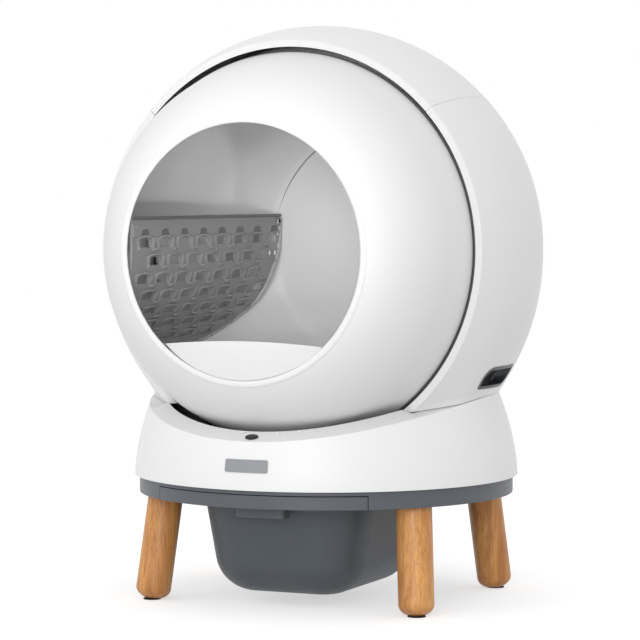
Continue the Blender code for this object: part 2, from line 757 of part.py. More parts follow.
def sifter_slots():
    bm = bmesh.new()
    for row in range(SLOT_ROWS):
        point, turn = sifter_path(SLOT_FIRST_ROW + SLOT_ROW_PITCH * row)
        shift = SLOT_PITCH / 2 * (row % 2)
        for column in range(SLOT_COLUMNS):
            y = SLOT_FIRST_Y + shift + SLOT_PITCH * column
            centre = Vector((point.x, y, point.z))
            room = BOWL_RADIUS - BOWL_WALL - SLOT_LONG / 2
            if (centre - Vector((0, SHELL_CENTRE_Y, 0))).length > room:
                continue
            at = Matrix.Translation(centre) @ Matrix.Rotation(turn, 4, "Y")
            size = Matrix.Diagonal((SIFTER_THICK + 2 * OVERRUN, SLOT_LONG, SLOT_TALL, 1))
            bmesh.ops.create_cube(bm, size=1.0, matrix=at @ size)
    mesh = bpy.data.meshes.new("sifter_slots")
    bm.to_mesh(mesh)
    bm.free()
    return place("sifter_slots", mesh, None, None, (0, 0, AXIS_HEIGHT))


def make_entry_lip(axis):
    # A leaning sheet across the bottom of the mouth, with a slightly arched top edge.
    tall = MOUTH_RADIUS - ENTRY_DROP
    half = sqrt(MOUTH_RADIUS ** 2 - ENTRY_DROP ** 2)
    outline = [(half, -tall), (-half, -tall)]
    for i in range(ENTRY_STEPS + 1):
        share = 2 * i / ENTRY_STEPS - 1
        outline.append((half * share, -ENTRY_ARCH * share ** 2))
    rings = [[(x, y, z) for x, z in outline] for y in (-ENTRY_THICK, 0)]
    centre = Vector((0, ENTRY_FRONT_Y + ENTRY_THICK + tall * tan(ENTRY_LEAN), -ENTRY_DROP))
    lip = skin("entry_lip", rings, "white_plastic", parent=axis, location=centre)
    lip.rotation_euler.x = -ENTRY_LEAN
    mouth = rod("mouth_room", (0, ENTRY_FRONT_Y, AXIS_HEIGHT), (0, ENTRY_FRONT_Y / 2, AXIS_HEIGHT),
                MOUTH_RADIUS - SIFTER_CLEAR, None, TURN_STEPS)
    boolean(lip, mouth, "INTERSECT")


def gear_outline(teeth, turn_share):
    # Straight-flanked stub teeth; a tooth's middle lies a share of a tooth past the first axis.
    pitch_radius = GEAR_MODULE * teeth / 2
    half = (pi * GEAR_MODULE / 2 - GEAR_BACKLASH) / 2
    tip = (pitch_radius + GEAR_ADDENDUM, half - GEAR_ADDENDUM * tan(GEAR_FLANK))
    root = (pitch_radius - GEAR_DEDENDUM, half + GEAR_DEDENDUM * tan(GEAR_FLANK))
    points = []
    for i in range(teeth):
        middle = 2 * pi * (i + turn_share) / teeth
        for (radius, width), side in ((root, -1), (tip, -1), (tip, 1), (root, 1)):
            angle = middle + side * width / pitch_radius
            points.append((radius * cos(angle), radius * sin(angle)))
    return points


def flat_gear(name, outline, bore, look, parent, location):
    curve = bpy.data.curves.new(name, "CURVE")
    curve.dimensions = "2D"
    curve.fill_mode = "BOTH"
    curve.extrude = GEAR_WIDTH / 2
    hole_steps = TURN_STEPS if bore > HUB_FLANGE_RADIUS else ROD_STEPS
    angles = [2 * pi * i / hole_steps for i in range(hole_steps)]
    hole = [(bore * cos(angle), bore * sin(angle)) for angle in angles]
    for points in (outline, hole):
        spline = curve.splines.new("POLY")
        spline.points.add(len(points) - 1)
        for target, (x, y) in zip(spline.points, points):
            target.co = (x, y, 0, 1)
        spline.use_cyclic_u = True
    return place(name, curve, look, parent, location, ALONG_Y)


def pinion_centre():
    reach = GEAR_MODULE * (RING_TEETH + PINION_TEETH) / 2
    return Vector((reach * cos(PINION_ANGLE), 0, AXIS_HEIGHT + reach * sin(PINION_ANGLE)))


def bowl_radius_at(y):
    return sqrt(BOWL_RADIUS ** 2 - (y - SHELL_CENTRE_Y) ** 2)


def turn_about(points, angle):
    return [(x * cos(angle) - y * sin(angle), x * sin(angle) + y * cos(angle)) for x, y in points]


def make_drive(axis):
    middle = GEAR_FRONT_Y + GEAR_WIDTH / 2
    # In the gears' own plane the second axis points down, so the line of centres is at -angle.
    line = -PINION_ANGLE
    ring = turn_about(gear_outline(RING_TEETH, RING_TURN_SHARE), line)
    flat_gear("ring_gear", ring, bowl_radius_at(GEAR_FRONT_Y) + FIT, "gear_plastic", axis, (0, middle, 0))
    pinion = turn_about(gear_outline(PINION_TEETH, 0), line + pi)
    centre = pinion_centre()
    spin = empty("pinion_axis", centre)
    flat_gear("drive_pinion", pinion, SHAFT_RADIUS + FIT, "gear_plastic", spin, (0, middle, 0))
    gearbox_y = GEAR_FRONT_Y + GEAR_WIDTH + GEARBOX_GAP
    rod("pinion_shaft", (0, GEAR_FRONT_Y - GEARBOX_GAP, 0), (0, gearbox_y + GEARBOX_LONG / 2, 0),
        SHAFT_RADIUS, "steel", SMALL_STEPS, spin)
    low = (centre.x - GEARBOX_HALF, gearbox_y, DECK_TOP + FIT)
    high = (centre.x + GEARBOX_HALF, gearbox_y + GEARBOX_LONG, centre.z + GEARBOX_HALF)
    gearbox = block("gearbox", low, high, "inner_plastic")
    bore_end = gearbox_y + GEARBOX_LONG / 2 + FIT
    bore = rod("gearbox_bore", (centre.x, gearbox_y - OVERRUN, centre.z), (centre.x, bore_end, centre.z),
               SHAFT_RADIUS + FIT, None, SMALL_STEPS)
    boolean(gearbox, bore)
    start = gearbox_y + GEARBOX_LONG + FIT
    rod("drive_motor", (centre.x, start, centre.z), (centre.x, start + MOTOR_LONG, centre.z),
        MOTOR_RADIUS, "steel", MOTOR_STEPS)


def make_hub(axis):
    flange = BOWL_DISC_Y + FIT
    shell_inside = REAR_Y - SHELL_WALL
    pin_end = shell_inside - HUB_PIN_END_GAP
    profile = [(0, pin_end), (HUB_PIN_RADIUS, pin_end), (HUB_PIN_RADIUS, flange + HUB_FLANGE_THICK),
               (HUB_FLANGE_RADIUS, flange + HUB_FLANGE_THICK), (HUB_FLANGE_RADIUS, flange), (0, flange)]
    turned("hub_pin", profile, "steel", ROD_STEPS, False, axis, rotation=ALONG_Y)
    back = shell_inside - FIT
    bore = HUB_PIN_RADIUS + FIT
    front = back - BEARING_LONG
    profile = [(BEARING_RADIUS, back), (BEARING_RADIUS, front), (bore, front), (bore, back)]
    turned("rear_bearing", profile, "steel", ROD_STEPS, location=(0, 0, AXIS_HEIGHT), rotation=ALONG_Y)


def make_rollers():
    reach = DOME_RADIUS + FIT + ROLLER_RADIUS
    front = ROLLER_Y - ROLLER_WIDTH / 2
    back = ROLLER_Y + ROLLER_WIDTH / 2
    for side, word in ((1, "right"), (-1, "left")):
        x = side * reach * sin(ROLLER_ANGLE)
        z = AXIS_HEIGHT - reach * cos(ROLLER_ANGLE)
        spin = empty("roller_axis_" + word, (x, 0, z))
        bore = AXLE_RADIUS + FIT
        profile = [(ROLLER_RADIUS, back), (ROLLER_RADIUS, front), (bore, front), (bore, back)]
        turned("track_roller_" + word, profile, "rubber", ROD_STEPS, parent=spin, rotation=ALONG_Y)
        ear_front = front - ROLLER_SIDE_GAP - BRACKET_EAR
        ear_back = back + ROLLER_SIDE_GAP + BRACKET_EAR
        rod("roller_axle_" + word, (x, ear_front, z), (x, ear_back, z), AXLE_RADIUS, "steel", SMALL_STEPS)
        bracket = block("roller_bracket_" + word, (x - BRACKET_HALF, ear_front, DECK_TOP + FIT),
                        (x + BRACKET_HALF, ear_back, z + BRACKET_ABOVE), "inner_plastic")
        room = block("roller_room_" + word,
                     (x - BRACKET_HALF - OVERRUN, front - ROLLER_SIDE_GAP, z - ROLLER_RADIUS - OVERRUN),
                     (x + BRACKET_HALF + OVERRUN, back + ROLLER_SIDE_GAP, z + ROLLER_RADIUS), None)
        boolean(bracket, room)
        hole = rod("axle_hole_" + word, (x, ear_front - OVERRUN, z), (x, ear_back + OVERRUN, z),
                   AXLE_RADIUS + FIT, None, SMALL_STEPS)
        boolean(bracket, hole)


# Base pan, deck and chute

def make_pan():
    inner = PAN_RADIUS - PAN_WALL
    plate_top = PAN_BOTTOM + PAN_PLATE
    profile = [(0, plate_top), (inner, plate_top), (inner, PAN_TOP), (PAN_RADIUS, PAN_TOP),
               (PAN_RADIUS, PAN_BOTTOM), (0, PAN_BOTTOM)]
    pan = turned("base_pan", profile, "grey_plastic", closed=False)
    reach = PAN_RADIUS + OVERRUN
    slot = block("pan_slot", (-PAN_SLOT_HALF, -reach, PAN_BOTTOM - OVERRUN),
                 (PAN_SLOT_HALF, PAN_SLOT_BACK, plate_top + OVERRUN), None)
    boolean(pan, slot)
    notch_top = PAN_BOTTOM + PANEL_TALL + PANEL_GAP
    notch = curved_bar("panel_notch", inner - PANEL_GAP, reach, PAN_BOTTOM - OVERRUN, notch_top,
                       PANEL_HALF_ANGLE + PANEL_GAP / PAN_RADIUS, None)
    boolean(pan, notch)
    for x, y in CORNERS:
        start, end, _ = leg_line(x, y)
        lift = (end - start).normalized() * (PAN_PLATE + OVERRUN)
        boolean(pan, rod(f"pan_hole_{x}_{y}", end - lift, end + lift, BOLT_RADIUS + FIT, None, SMALL_STEPS))


def curved_bar(name, inner, outer, bottom, top, half_angle, look, parent=None):
    rings = []
    for i in range(PANEL_COLUMNS + 1):
        angle = half_angle * (2 * i / PANEL_COLUMNS - 1)
        ring = [(inner, bottom), (inner, top), (outer, top), (outer, bottom)]
        rings.append([(radius * sin(angle), -radius * cos(angle), z) for radius, z in ring])
    return skin(name, rings, look, parent=parent)


def rectangle(half, front, back, grow, z):
    return [(-half - grow, front - grow, z), (half + grow, front - grow, z),
            (half + grow, back + grow, z), (-half - grow, back + grow, z)]


def make_deck():
    radius = BASE_RADIUS - BASE_WALL - DECK_EDGE_GAP
    profile = [(0, DECK_TOP), (radius, DECK_TOP), (radius, DECK_BOTTOM), (0, DECK_BOTTOM)]
    deck = turned("base_deck", profile, "inner_plastic", closed=False)
    grow = CHUTE_WALL + FIT
    hole = block("chute_hole", (-CHUTE_HALF - grow, CHUTE_FRONT_Y - grow, DECK_BOTTOM - OVERRUN),
                 (CHUTE_HALF + grow, CHUTE_BACK_Y + grow, DECK_TOP + OVERRUN), None)
    boolean(deck, hole)


def make_chute():
    seat = DECK_TOP + FIT
    section = [(0, CHUTE_BOTTOM), (0, CHUTE_TOP), (CHUTE_WALL, CHUTE_TOP), (CHUTE_WALL, seat + CHUTE_WALL),
               (CHUTE_WALL + CHUTE_FLANGE, seat + CHUTE_WALL), (CHUTE_WALL + CHUTE_FLANGE, seat),
               (CHUTE_WALL, seat), (CHUTE_WALL, CHUTE_BOTTOM)]
    rings = [rectangle(CHUTE_HALF, CHUTE_FRONT_Y, CHUTE_BACK_Y, grow, z) for grow, z in section]
    skin("waste_chute", rings, "inner_plastic", wrap=True)


# Waste drawer

def rounded_rectangle(half, front, back, corner, z):
    points = []
    centres = ((half - corner, back - corner, 0), (-half + corner, back - corner, pi / 2),
               (-half + corner, front + corner, pi), (half - corner, front + corner, 3 * pi / 2))
    for x, y, start in centres:
        for i in range(CORNER_STEPS + 1):
            angle = start + pi / 2 * i / CORNER_STEPS
            points.append((x + corner * cos(angle), y + corner * sin(angle), z))
    return points


def bin_ring(z, inset):
    # The tub narrows evenly to its floor, whose edge is rounded.
    climb = (z - BIN_BOTTOM) / (PAN_TOP - BIN_BOTTOM)
    inset += BIN_TAPER * (1 - climb)
    above = min((z - BIN_BOTTOM) / BIN_FLOOR_ROUND, 1)
    inset += BIN_FLOOR_ROUND * (1 - sqrt(1 - (1 - above) ** 2))
    return rounded_rectangle(BIN_HALF - inset, BIN_FRONT_Y + inset, BIN_BACK_Y - inset,
                             max(BIN_CORNER - inset, BIN_WALL), z)


def make_drawer(carrier):
    plate_top = PAN_BOTTOM + PAN_PLATE
    tray_bottom = plate_top + FIT + RUNNER_TALL + FIT
    tray_top = tray_bottom + TRAY_THICK
    rim_top = tray_top + FIT + BIN_RIM_THICK
    panel_inner = PAN_RADIUS - PAN_WALL + FIT
    for side, word in ((1, "right"), (-1, "left")):
        block("drawer_runner_" + word,
              (side * RUNNER_X - RUNNER_HALF, RUNNER_FRONT_Y, plate_top + FIT),
              (side * RUNNER_X + RUNNER_HALF, RUNNER_BACK_Y, tray_bottom - FIT), "inner_plastic")

    tray = block("drawer_tray", (-TRAY_HALF, -PAN_RADIUS, tray_bottom), (TRAY_HALF, TRAY_BACK_Y, tray_top),
                 "grey_plastic", carrier)
    reach = panel_inner - FIT
    disc = turned("tray_outline", [(0, PAN_TOP), (reach, PAN_TOP), (reach, 0), (0, 0)], None, closed=False)
    boolean(tray, disc, "INTERSECT")
    window = [rounded_rectangle(BIN_HALF + FIT, BIN_FRONT_Y - FIT, BIN_BACK_Y + FIT, BIN_CORNER, z)
              for z in (tray_bottom - OVERRUN, tray_top + OVERRUN)]
    boolean(tray, skin("tray_window", window, None))

    bends = [pi / 2 * i / BIN_FLOOR_STEPS for i in range(BIN_FLOOR_STEPS + 1)]
    floor = [BIN_BOTTOM + BIN_FLOOR_ROUND * (1 - cos(bend)) for bend in bends]
    outer = [bin_ring(z, 0) for z in floor + [tray_top + FIT]]
    rim = [bin_ring(tray_top + FIT, -BIN_RIM), bin_ring(rim_top, -BIN_RIM)]
    inner = [bin_ring(z, BIN_WALL) for z in [rim_top] + floor[:0:-1]]
    inner.append([(x, y, BIN_BOTTOM + BIN_WALL) for x, y, _ in bin_ring(floor[0], 0)])
    skin("waste_bin", outer + rim + inner, "grey_plastic", parent=carrier)

    panel_top = PAN_BOTTOM + PANEL_TALL
    curved_bar("drawer_front", panel_inner, PAN_RADIUS, PAN_BOTTOM, panel_top, PANEL_HALF_ANGLE,
               "grey_plastic", carrier)
    pull_back = BIN_FRONT_Y - OVERRUN
    pull_top = tray_bottom - FIT
    pull = block("drawer_pull", (-PULL_HALF, PULL_FRONT_Y, PULL_BOTTOM), (PULL_HALF, pull_back, pull_top),
                 "grey_plastic", carrier)
    half = PULL_HALF - PULL_WALL
    pocket = block("pull_pocket", (-half, PULL_FRONT_Y + PULL_WALL, PULL_BOTTOM - OVERRUN),
                   (half, pull_back - PULL_WALL, PAN_BOTTOM), None)
    boolean(pull, pocket)


# Legs

def leg_line(x, y):
    foot = Vector((x * FOOT_X, y * FOOT_Y, 0))
    top = Vector((x * LEG_TOP_X, y * LEG_TOP_Y, PAN_BOTTOM))
    return foot, top, (top - foot).to_track_quat("Z", "Y")


def make_leg(x, y):
    word = ("front_" if y < 0 else "rear_") + ("left" if x < 0 else "right")
    foot, top, turn = leg_line(x, y)
    long = (top - foot).length
    end = [(LEG_RADIUS * sin(angle), LEG_END * (1 - cos(angle)))
           for angle in (pi / 2 * (1 - i / LEG_END_STEPS) for i in range(LEG_END_STEPS + 1))]
    profile = [(0, long + OVERRUN), (LEG_RADIUS, long + OVERRUN)] + end[:-1] + [(0, 0)]
    leg = turned("leg_" + word, profile, "wood", LEG_STEPS, False, None, foot, turn)
    reach = LEG_RADIUS + LEG_RADIUS
    above = block("leg_top_cut_" + word, (top.x - reach, top.y - reach, PAN_BOTTOM - FIT),
                  (top.x + reach, top.y + reach, PAN_TOP), None)
    below = block("leg_foot_cut_" + word, (foot.x - reach, foot.y - reach, -OVERRUN),
                  (foot.x + reach, foot.y + reach, FOOT_PAD_TALL + FIT), None)
    axis = (top - foot).normalized()
    bottom = top - axis * (BOLT_DEPTH + FIT)
    bore = rod("leg_bore_" + word, bottom, top + axis * OVERRUN, BOLT_RADIUS + FIT, None, SMALL_STEPS)
    for cutter in (above, below, bore):
        boolean(leg, cutter)
    rod("foot_pad_" + word, (foot.x, foot.y, 0), (foot.x, foot.y, FOOT_PAD_TALL), FOOT_PAD_RADIUS, "rubber")
    head = long + PAN_PLATE + BOLT_LIFT
    head_top = head + BOLT_HEAD_TALL
    profile = [(0, head_top), (BOLT_HEAD_RADIUS, head_top), (BOLT_HEAD_RADIUS, head),
               (BOLT_RADIUS, head), (BOLT_RADIUS, long - BOLT_DEPTH), (0, long - BOLT_DEPTH)]
    turned("leg_bolt_" + word, profile, "steel", SMALL_STEPS, False, None, foot, turn)


def make_board():
    seat = DECK_TOP + FIT
    block("control_board", (-BOARD_HALF, BOARD_FRONT_Y, seat), (BOARD_HALF, BOARD_BACK_Y, seat + BOARD_THICK),
          "board_green")


def main():
    clear_scene()
    collection(BOX_COLLECTION)
    collection(CUTTER_COLLECTION)
    drum_axis = empty("drum_axis", (0, 0, AXIS_HEIGHT))
    drawer_carrier = empty("drawer_carrier", (0, 0, 0))
    make_shell()
    make_housing()
    make_ledge_pieces()
    make_name_plate()
    make_inlet()
    make_board()
    make_drum(drum_axis)
    make_sifter(drum_axis)
    make_entry_lip(drum_axis)
    make_drive(drum_axis)
    make_hub(drum_axis)
    make_rollers()
    make_pan()
    make_deck()
    make_chute()
    make_drawer(drawer_carrier)
    for x, y in CORNERS:
        make_leg(x, y)


main()
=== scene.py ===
import json
from math import acos, asin, cos, pi, radians, sin, sqrt, tan

import bmesh
import bpy
import numpy as np
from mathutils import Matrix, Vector


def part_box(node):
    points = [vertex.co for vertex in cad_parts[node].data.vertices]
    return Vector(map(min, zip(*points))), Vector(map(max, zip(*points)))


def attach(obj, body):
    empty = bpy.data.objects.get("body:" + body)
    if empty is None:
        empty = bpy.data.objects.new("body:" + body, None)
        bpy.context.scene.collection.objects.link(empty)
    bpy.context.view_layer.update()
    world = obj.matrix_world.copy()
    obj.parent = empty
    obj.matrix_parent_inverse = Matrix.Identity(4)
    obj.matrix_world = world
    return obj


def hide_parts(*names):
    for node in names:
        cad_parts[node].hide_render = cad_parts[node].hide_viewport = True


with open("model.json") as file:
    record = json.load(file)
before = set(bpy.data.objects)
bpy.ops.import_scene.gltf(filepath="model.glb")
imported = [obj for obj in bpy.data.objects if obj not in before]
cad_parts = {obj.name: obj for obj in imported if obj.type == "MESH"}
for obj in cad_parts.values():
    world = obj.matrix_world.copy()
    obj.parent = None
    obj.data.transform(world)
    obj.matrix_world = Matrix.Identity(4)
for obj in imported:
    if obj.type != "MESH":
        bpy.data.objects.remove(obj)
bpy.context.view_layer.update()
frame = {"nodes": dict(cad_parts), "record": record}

print("frame loaded:", len(frame["nodes"]), "nodes")

axisHeight = 0.415      # height of the drum's axis
fit = 0.0003            # gap between touching pieces
halvings = 40           # steps of a search by halving
mergeStep = 1e-6        # points nearer than this are one
tiny = 1e-9             # keeps a square root's inside above nothing


# Points and grids

def spread(x, y, z):
    # Points from three arrays that stretch to one shape.
    return np.stack(np.broadcast_arrays(x, y, z), axis=-1)


def aboutDrum(turn, radius, y):
    # Points round the drum's axis: an angle from the top, a radius and a place along it.
    return spread(radius * np.sin(turn), y, axisHeight + radius * np.cos(turn))


def aboutMiddle(angle, radius, z):
    # Points round the upright line through the middle: an angle from the front, a radius, a height.
    return spread(radius * np.sin(angle), -radius * np.cos(angle), z)


def fullTurn(steps):
    # Equal angles once round, without the last.
    return 2 * pi * np.arange(steps) / steps


def smoothStep(share):
    # Three times the square less twice the cube of a share held between 0 and 1.
    share = np.clip(share, 0, 1)
    return share * share * (3 - 2 * share)


def curveTo(first, corner, last, steps):
    # A parabola from first to last, drawn towards the corner.
    t = np.linspace(0, 1, steps + 1)[:, None]
    return (1 - t) ** 2 * first + 2 * t * (1 - t) * corner + t ** 2 * last


def halve(low, high, past):
    # The place between low and high from which past(place) holds, found by halving.
    for _ in range(halvings):
        middle = (low + high) / 2
        beyond = past(middle)
        high = np.where(beyond, middle, high)
        low = np.where(beyond, low, middle)
    return (low + high) / 2


def gridFaces(rows, columns, wrapRows=False, wrapColumns=False):
    # Quads of a grid of points stored row after row; a wrapped side joins its last line to its first.
    i = np.arange(rows if wrapRows else rows - 1)
    j = np.arange(columns if wrapColumns else columns - 1)
    i, j = np.meshgrid(i, j, indexing="ij")
    below, beside = (i + 1) % rows, (j + 1) % columns
    quads = (i * columns + j, i * columns + beside, below * columns + beside, below * columns + j)
    return np.stack(quads, axis=-1).reshape(-1, 4)


def joinGrids(grids):
    # One list of points and one of faces from several (points, faces) pairs.
    points, faces, start = [], [], 0
    for part, quads in grids:
        part = np.asarray(part, float).reshape(-1, 3)
        points.append(part)
        faces.append(quads + start)
        start += len(part)
    return np.concatenate(points), np.concatenate(faces)


def weld(points, faces):
    # The faces with each corner moved to the first point at its place, so that grids which meet are joined.
    keys = np.round(points / mergeStep).astype(np.int64)
    _, first, inverse = np.unique(keys, axis=0, return_index=True, return_inverse=True)
    return first[inverse.reshape(-1)][faces]


def wallBetween(outer, inner, faces):
    # A closed wall: the outer sheet, the inner sheet turned round, and a strip along every free edge.
    faces = weld(outer, faces)
    edges = np.concatenate([faces[:, [a, (a + 1) % 4]] for a in range(4)])
    edges = edges[edges[:, 0] != edges[:, 1]]
    edge = np.sort(edges, axis=1)
    _, inverse, counts = np.unique(edge, axis=0, return_inverse=True, return_counts=True)
    border = edges[counts[inverse.reshape(-1)] == 1]
    shift = len(outer)
    strips = np.stack((border[:, 1], border[:, 0], border[:, 0] + shift, border[:, 1] + shift), axis=1)
    return np.concatenate([outer, inner]), np.concatenate([faces, faces[:, ::-1] + shift, strips])


def wallOf(outer, inner):
    # A closed wall between two grids of points of one shape.
    return wallBetween(outer.reshape(-1, 3), inner.reshape(-1, 3), gridFaces(*outer.shape[:2]))


def wallFromSheets(sheet, wall):
    # A closed wall between a sheet of several grids and the same sheet set in by the wall.
    outer, faces = joinGrids(sheet(0.0))
    inner, _ = joinGrids(sheet(wall))
    return wallBetween(outer, inner, faces)


def revolve(profile, steps, closed=True):
    # A profile of (radius, y) carried round the drum's axis; a closed profile makes a solid ring.
    radius, along = np.asarray(profile, float).T
    points = aboutDrum(fullTurn(steps)[:, None], radius, along)
    return points.reshape(-1, 3), gridFaces(steps, len(radius), True, closed)


def stackRings(rings, caps=True):
    # Closed rings of equal count joined one to the next; the two ends close on their middles.
    rings = [np.asarray(ring, float) for ring in rings]
    if caps:
        rings.insert(0, np.broadcast_to(rings[0].mean(axis=0), rings[0].shape))
        rings.append(np.broadcast_to(rings[-1].mean(axis=0), rings[-1].shape))
    return np.concatenate(rings), gridFaces(len(rings), len(rings[0]), False, True)


def tube(points, normals, radius, sides=8):
    # A round bar along a path; normals say which way its section's first axis looks.
    points, normals = np.asarray(points, float), np.asarray(normals, float)
    run = np.gradient(points, axis=0)
    run /= np.linalg.norm(run, axis=1, keepdims=True)
    across = np.cross(run, normals)
    across /= np.linalg.norm(across, axis=1, keepdims=True)
    out = np.cross(across, run)
    turn = fullTurn(sides)[:, None]
    radius = np.broadcast_to(radius, len(points))[:, None, None]
    circle = np.cos(turn) * out[:, None] + np.sin(turn) * across[:, None]
    return stackRings(list(points[:, None] + radius * circle))


def densify(outline, pieces):
    # A closed outline with each of its sides cut into this many equal pieces.
    after = np.roll(outline, -1, axis=0)
    share = np.arange(pieces)[None, :, None] / pieces
    return (outline[:, None] + (after - outline)[:, None] * share).reshape(-1, outline.shape[1])


def roundProfile(corners, steps=5, most=0.49):
    # A closed polygon of (a, b, rounding) corners, each turned into a curve of at most a share of its sides.
    points = np.array([c[:2] for c in corners], float)
    done = []
    for i, (_, _, size) in enumerate(corners):
        here = points[i]
        before = points[i - 1] - here
        after = points[(i + 1) % len(points)] - here
        if size <= 0:
            done.append(here[None])
            continue
        room = min(size, most * np.hypot(*before), most * np.hypot(*after))
        first = here + before / np.hypot(*before) * room
        last = here + after / np.hypot(*after) * room
        done.append(curveTo(first, here, last, steps))
    return np.concatenate(done)


def boxGrid(low, high):
    # A plain box as two rings.
    ring = np.array([[low[0], low[1]], [high[0], low[1]], [high[0], high[1]], [low[0], high[1]]])
    return stackRings([np.column_stack([ring, np.full(4, z)]) for z in (low[2], high[2])])


# Meshes and pieces

smoothAngle = radians(38)       # edges sharper than this stay sharp
bevelAngle = radians(40)        # edges sharper than this are rounded


def linkNew(name, data):
    # A new object with this data, in the scene.
    obj = bpy.data.objects.new(name, data)
    bpy.context.scene.collection.objects.link(obj)
    return obj


def makeMesh(name, points, faces, look, sharp=smoothAngle):
    # A mesh object from whole arrays, with its doubles merged and its faces turned outwards.
    mesh = bpy.data.meshes.new(name)
    mesh.vertices.add(len(points))
    mesh.vertices.foreach_set("co", np.asarray(points, np.float32).reshape(-1))
    mesh.loops.add(faces.size)
    mesh.loops.foreach_set("vertex_index", faces.reshape(-1).astype(np.int32))
    mesh.polygons.add(len(faces))
    mesh.polygons.foreach_set("loop_start", (np.arange(len(faces)) * faces.shape[1]).astype(np.int32))
    mesh.update(calc_edges=True)
    bm = bmesh.new()
    bm.from_mesh(mesh)
    bmesh.ops.remove_doubles(bm, verts=bm.verts, dist=2 * mergeStep)
    bmesh.ops.dissolve_degenerate(bm, edges=bm.edges, dist=mergeStep)
    bmesh.ops.recalc_face_normals(bm, faces=bm.faces)
    bm.to_mesh(mesh)
    bm.free()
    mesh.validate()
    mesh.shade_smooth()
    mesh.set_sharp_from_angle(angle=sharp)
    mesh.materials.append(look)
    return linkNew(name, mesh)


def plainMesh(name, points, faces, look):
    # A mesh object with flat faces, taken as it is.
    mesh = bpy.data.meshes.new(name)
    mesh.from_pydata(points, [], faces)
    mesh.materials.append(look)
    return linkNew(name, mesh)


def dress(name, grid, look, body, replaces=(), sharp=smoothAngle):
    # Makes a piece from (points, faces), rides it on its body and hides the parts it replaces.
    obj = makeMesh(name, grid[0], grid[1], looks[look], sharp)
    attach(obj, body)
    if replaces:
        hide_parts(*replaces)
    return obj


def roundEdges(obj, width):
    # A small bevel along every sharp edge.
    bevel = obj.modifiers.new("rounded edges", "BEVEL")
    bevel.width = width
    bevel.segments = 3
    bevel.limit_method = "ANGLE"
    bevel.angle_limit = bevelAngle
    bevel.use_clamp_overlap = True


def toneFaces(obj, look, chosen):
    # Gives a second look to the faces whose middles are chosen by a rule of x, y and z.
    mesh = obj.data
    mesh.materials.append(looks[look])
    middles = np.empty(len(mesh.polygons) * 3, np.float32)
    mesh.polygons.foreach_get("center", middles)
    mesh.polygons.foreach_set("material_index", chosen(*middles.reshape(-1, 3).T).astype(np.int32))


def cutWith(obj, grid, operation="DIFFERENCE"):
    # A boolean with a throwaway solid made from a grid, worked into the mesh and smoothed again.
    tool = makeMesh("cutting tool", grid[0], grid[1], obj.data.materials[0])
    cut = obj.modifiers.new("cut", "BOOLEAN")
    cut.operation = operation
    cut.solver = "EXACT"
    cut.object = tool
    graph = bpy.context.evaluated_depsgraph_get()
    mesh = bpy.data.meshes.new_from_object(obj.evaluated_get(graph))
    old = obj.data
    obj.modifiers.clear()
    obj.data = mesh
    bpy.data.meshes.remove(old)
    mesh.name = obj.name
    mesh.shade_smooth()
    mesh.set_sharp_from_angle(angle=smoothAngle)
    bpy.data.objects.remove(tool, do_unlink=True)


# Materials

def feed(tree, socket, value):
    # Sets a socket, or links it where the value is another node's socket.
    if isinstance(value, bpy.types.NodeSocket):
        tree.links.new(value, socket)
    elif socket.type == "RGBA" and len(value) == 3:
        socket.default_value = (*value, 1)
    else:
        socket.default_value = value


def addNode(tree, kind, **settings):
    # A new node; a setting that starts with in_ feeds the input of that name.
    node = tree.nodes.new("ShaderNode" + kind)
    for key, value in settings.items():
        if key.startswith("in_"):
            feed(tree, node.inputs[key[3:].replace("_", " ")], value)
        else:
            setattr(node, key, value)
    return node


def calc(tree, operation, a, b, clamp=False):
    # One step of arithmetic on numbers or sockets.
    node = addNode(tree, "Math", operation=operation, use_clamp=clamp)
    feed(tree, node.inputs[0], a)
    feed(tree, node.inputs[1], b)
    return node.outputs[0]


def mixColour(tree, factor, one, two):
    # From the first colour to the second as the factor goes from 0 to 1.
    node = addNode(tree, "Mix", data_type="RGBA")
    for index, value in ((0, factor), (6, one), (7, two)):
        feed(tree, node.inputs[index], value)
    return node.outputs[2]


def scaleColour(tree, colour, level):
    # A colour made lighter or darker by a factor.
    node = addNode(tree, "VectorMath", operation="SCALE", in_Scale=level)
    tree.links.new(colour, node.inputs[0])
    return node.outputs[0]


def objectPlace(tree, stretch=None):
    # Object coordinates, stretched along the axes where a pattern runs one way.
    spot = addNode(tree, "TexCoord").outputs["Object"]
    return addNode(tree, "Mapping", in_Vector=spot, in_Scale=stretch).outputs[0] if stretch else spot


def noise(tree, spot, scale, detail=2.0, rough=0.5):
    # A cloudy pattern from 0 to 1.
    node = addNode(tree, "TexNoise", in_Vector=spot, in_Scale=scale, in_Detail=detail, in_Roughness=rough)
    return node.outputs["Fac"]


def rangeOf(tree, value, low, high, newLow, newHigh):
    # A value carried from one range to another and held inside it.
    node = addNode(tree, "MapRange", in_Value=value, in_From_Min=low, in_From_Max=high, in_To_Min=newLow,
                   in_To_Max=newHigh)
    return node.outputs["Result"]


def newGroup(name, **inputs):
    # An effect that puts out a colour, a roughness and a height; its inputs are given with their values.
    tree = bpy.data.node_groups.new(name, "ShaderNodeTree")
    for label, value in inputs.items():
        kind = "NodeSocketColor" if isinstance(value, tuple) else "NodeSocketFloat"
        socket = tree.interface.new_socket(label, in_out="INPUT", socket_type=kind)
        socket.default_value = (*value, 1) if isinstance(value, tuple) else value
    for label, kind in (("Colour", "Color"), ("Roughness", "Float"), ("Height", "Float")):
        tree.interface.new_socket(label, in_out="OUTPUT", socket_type="NodeSocket" + kind)
    return tree, tree.nodes.new("NodeGroupInput").outputs


def closeGroup(tree, **results):
    # Joins the results to the group's outputs of the same names.
    inputs = tree.nodes.new("NodeGroupOutput").inputs
    for label, socket in results.items():
        tree.links.new(socket, inputs[label])
    return tree


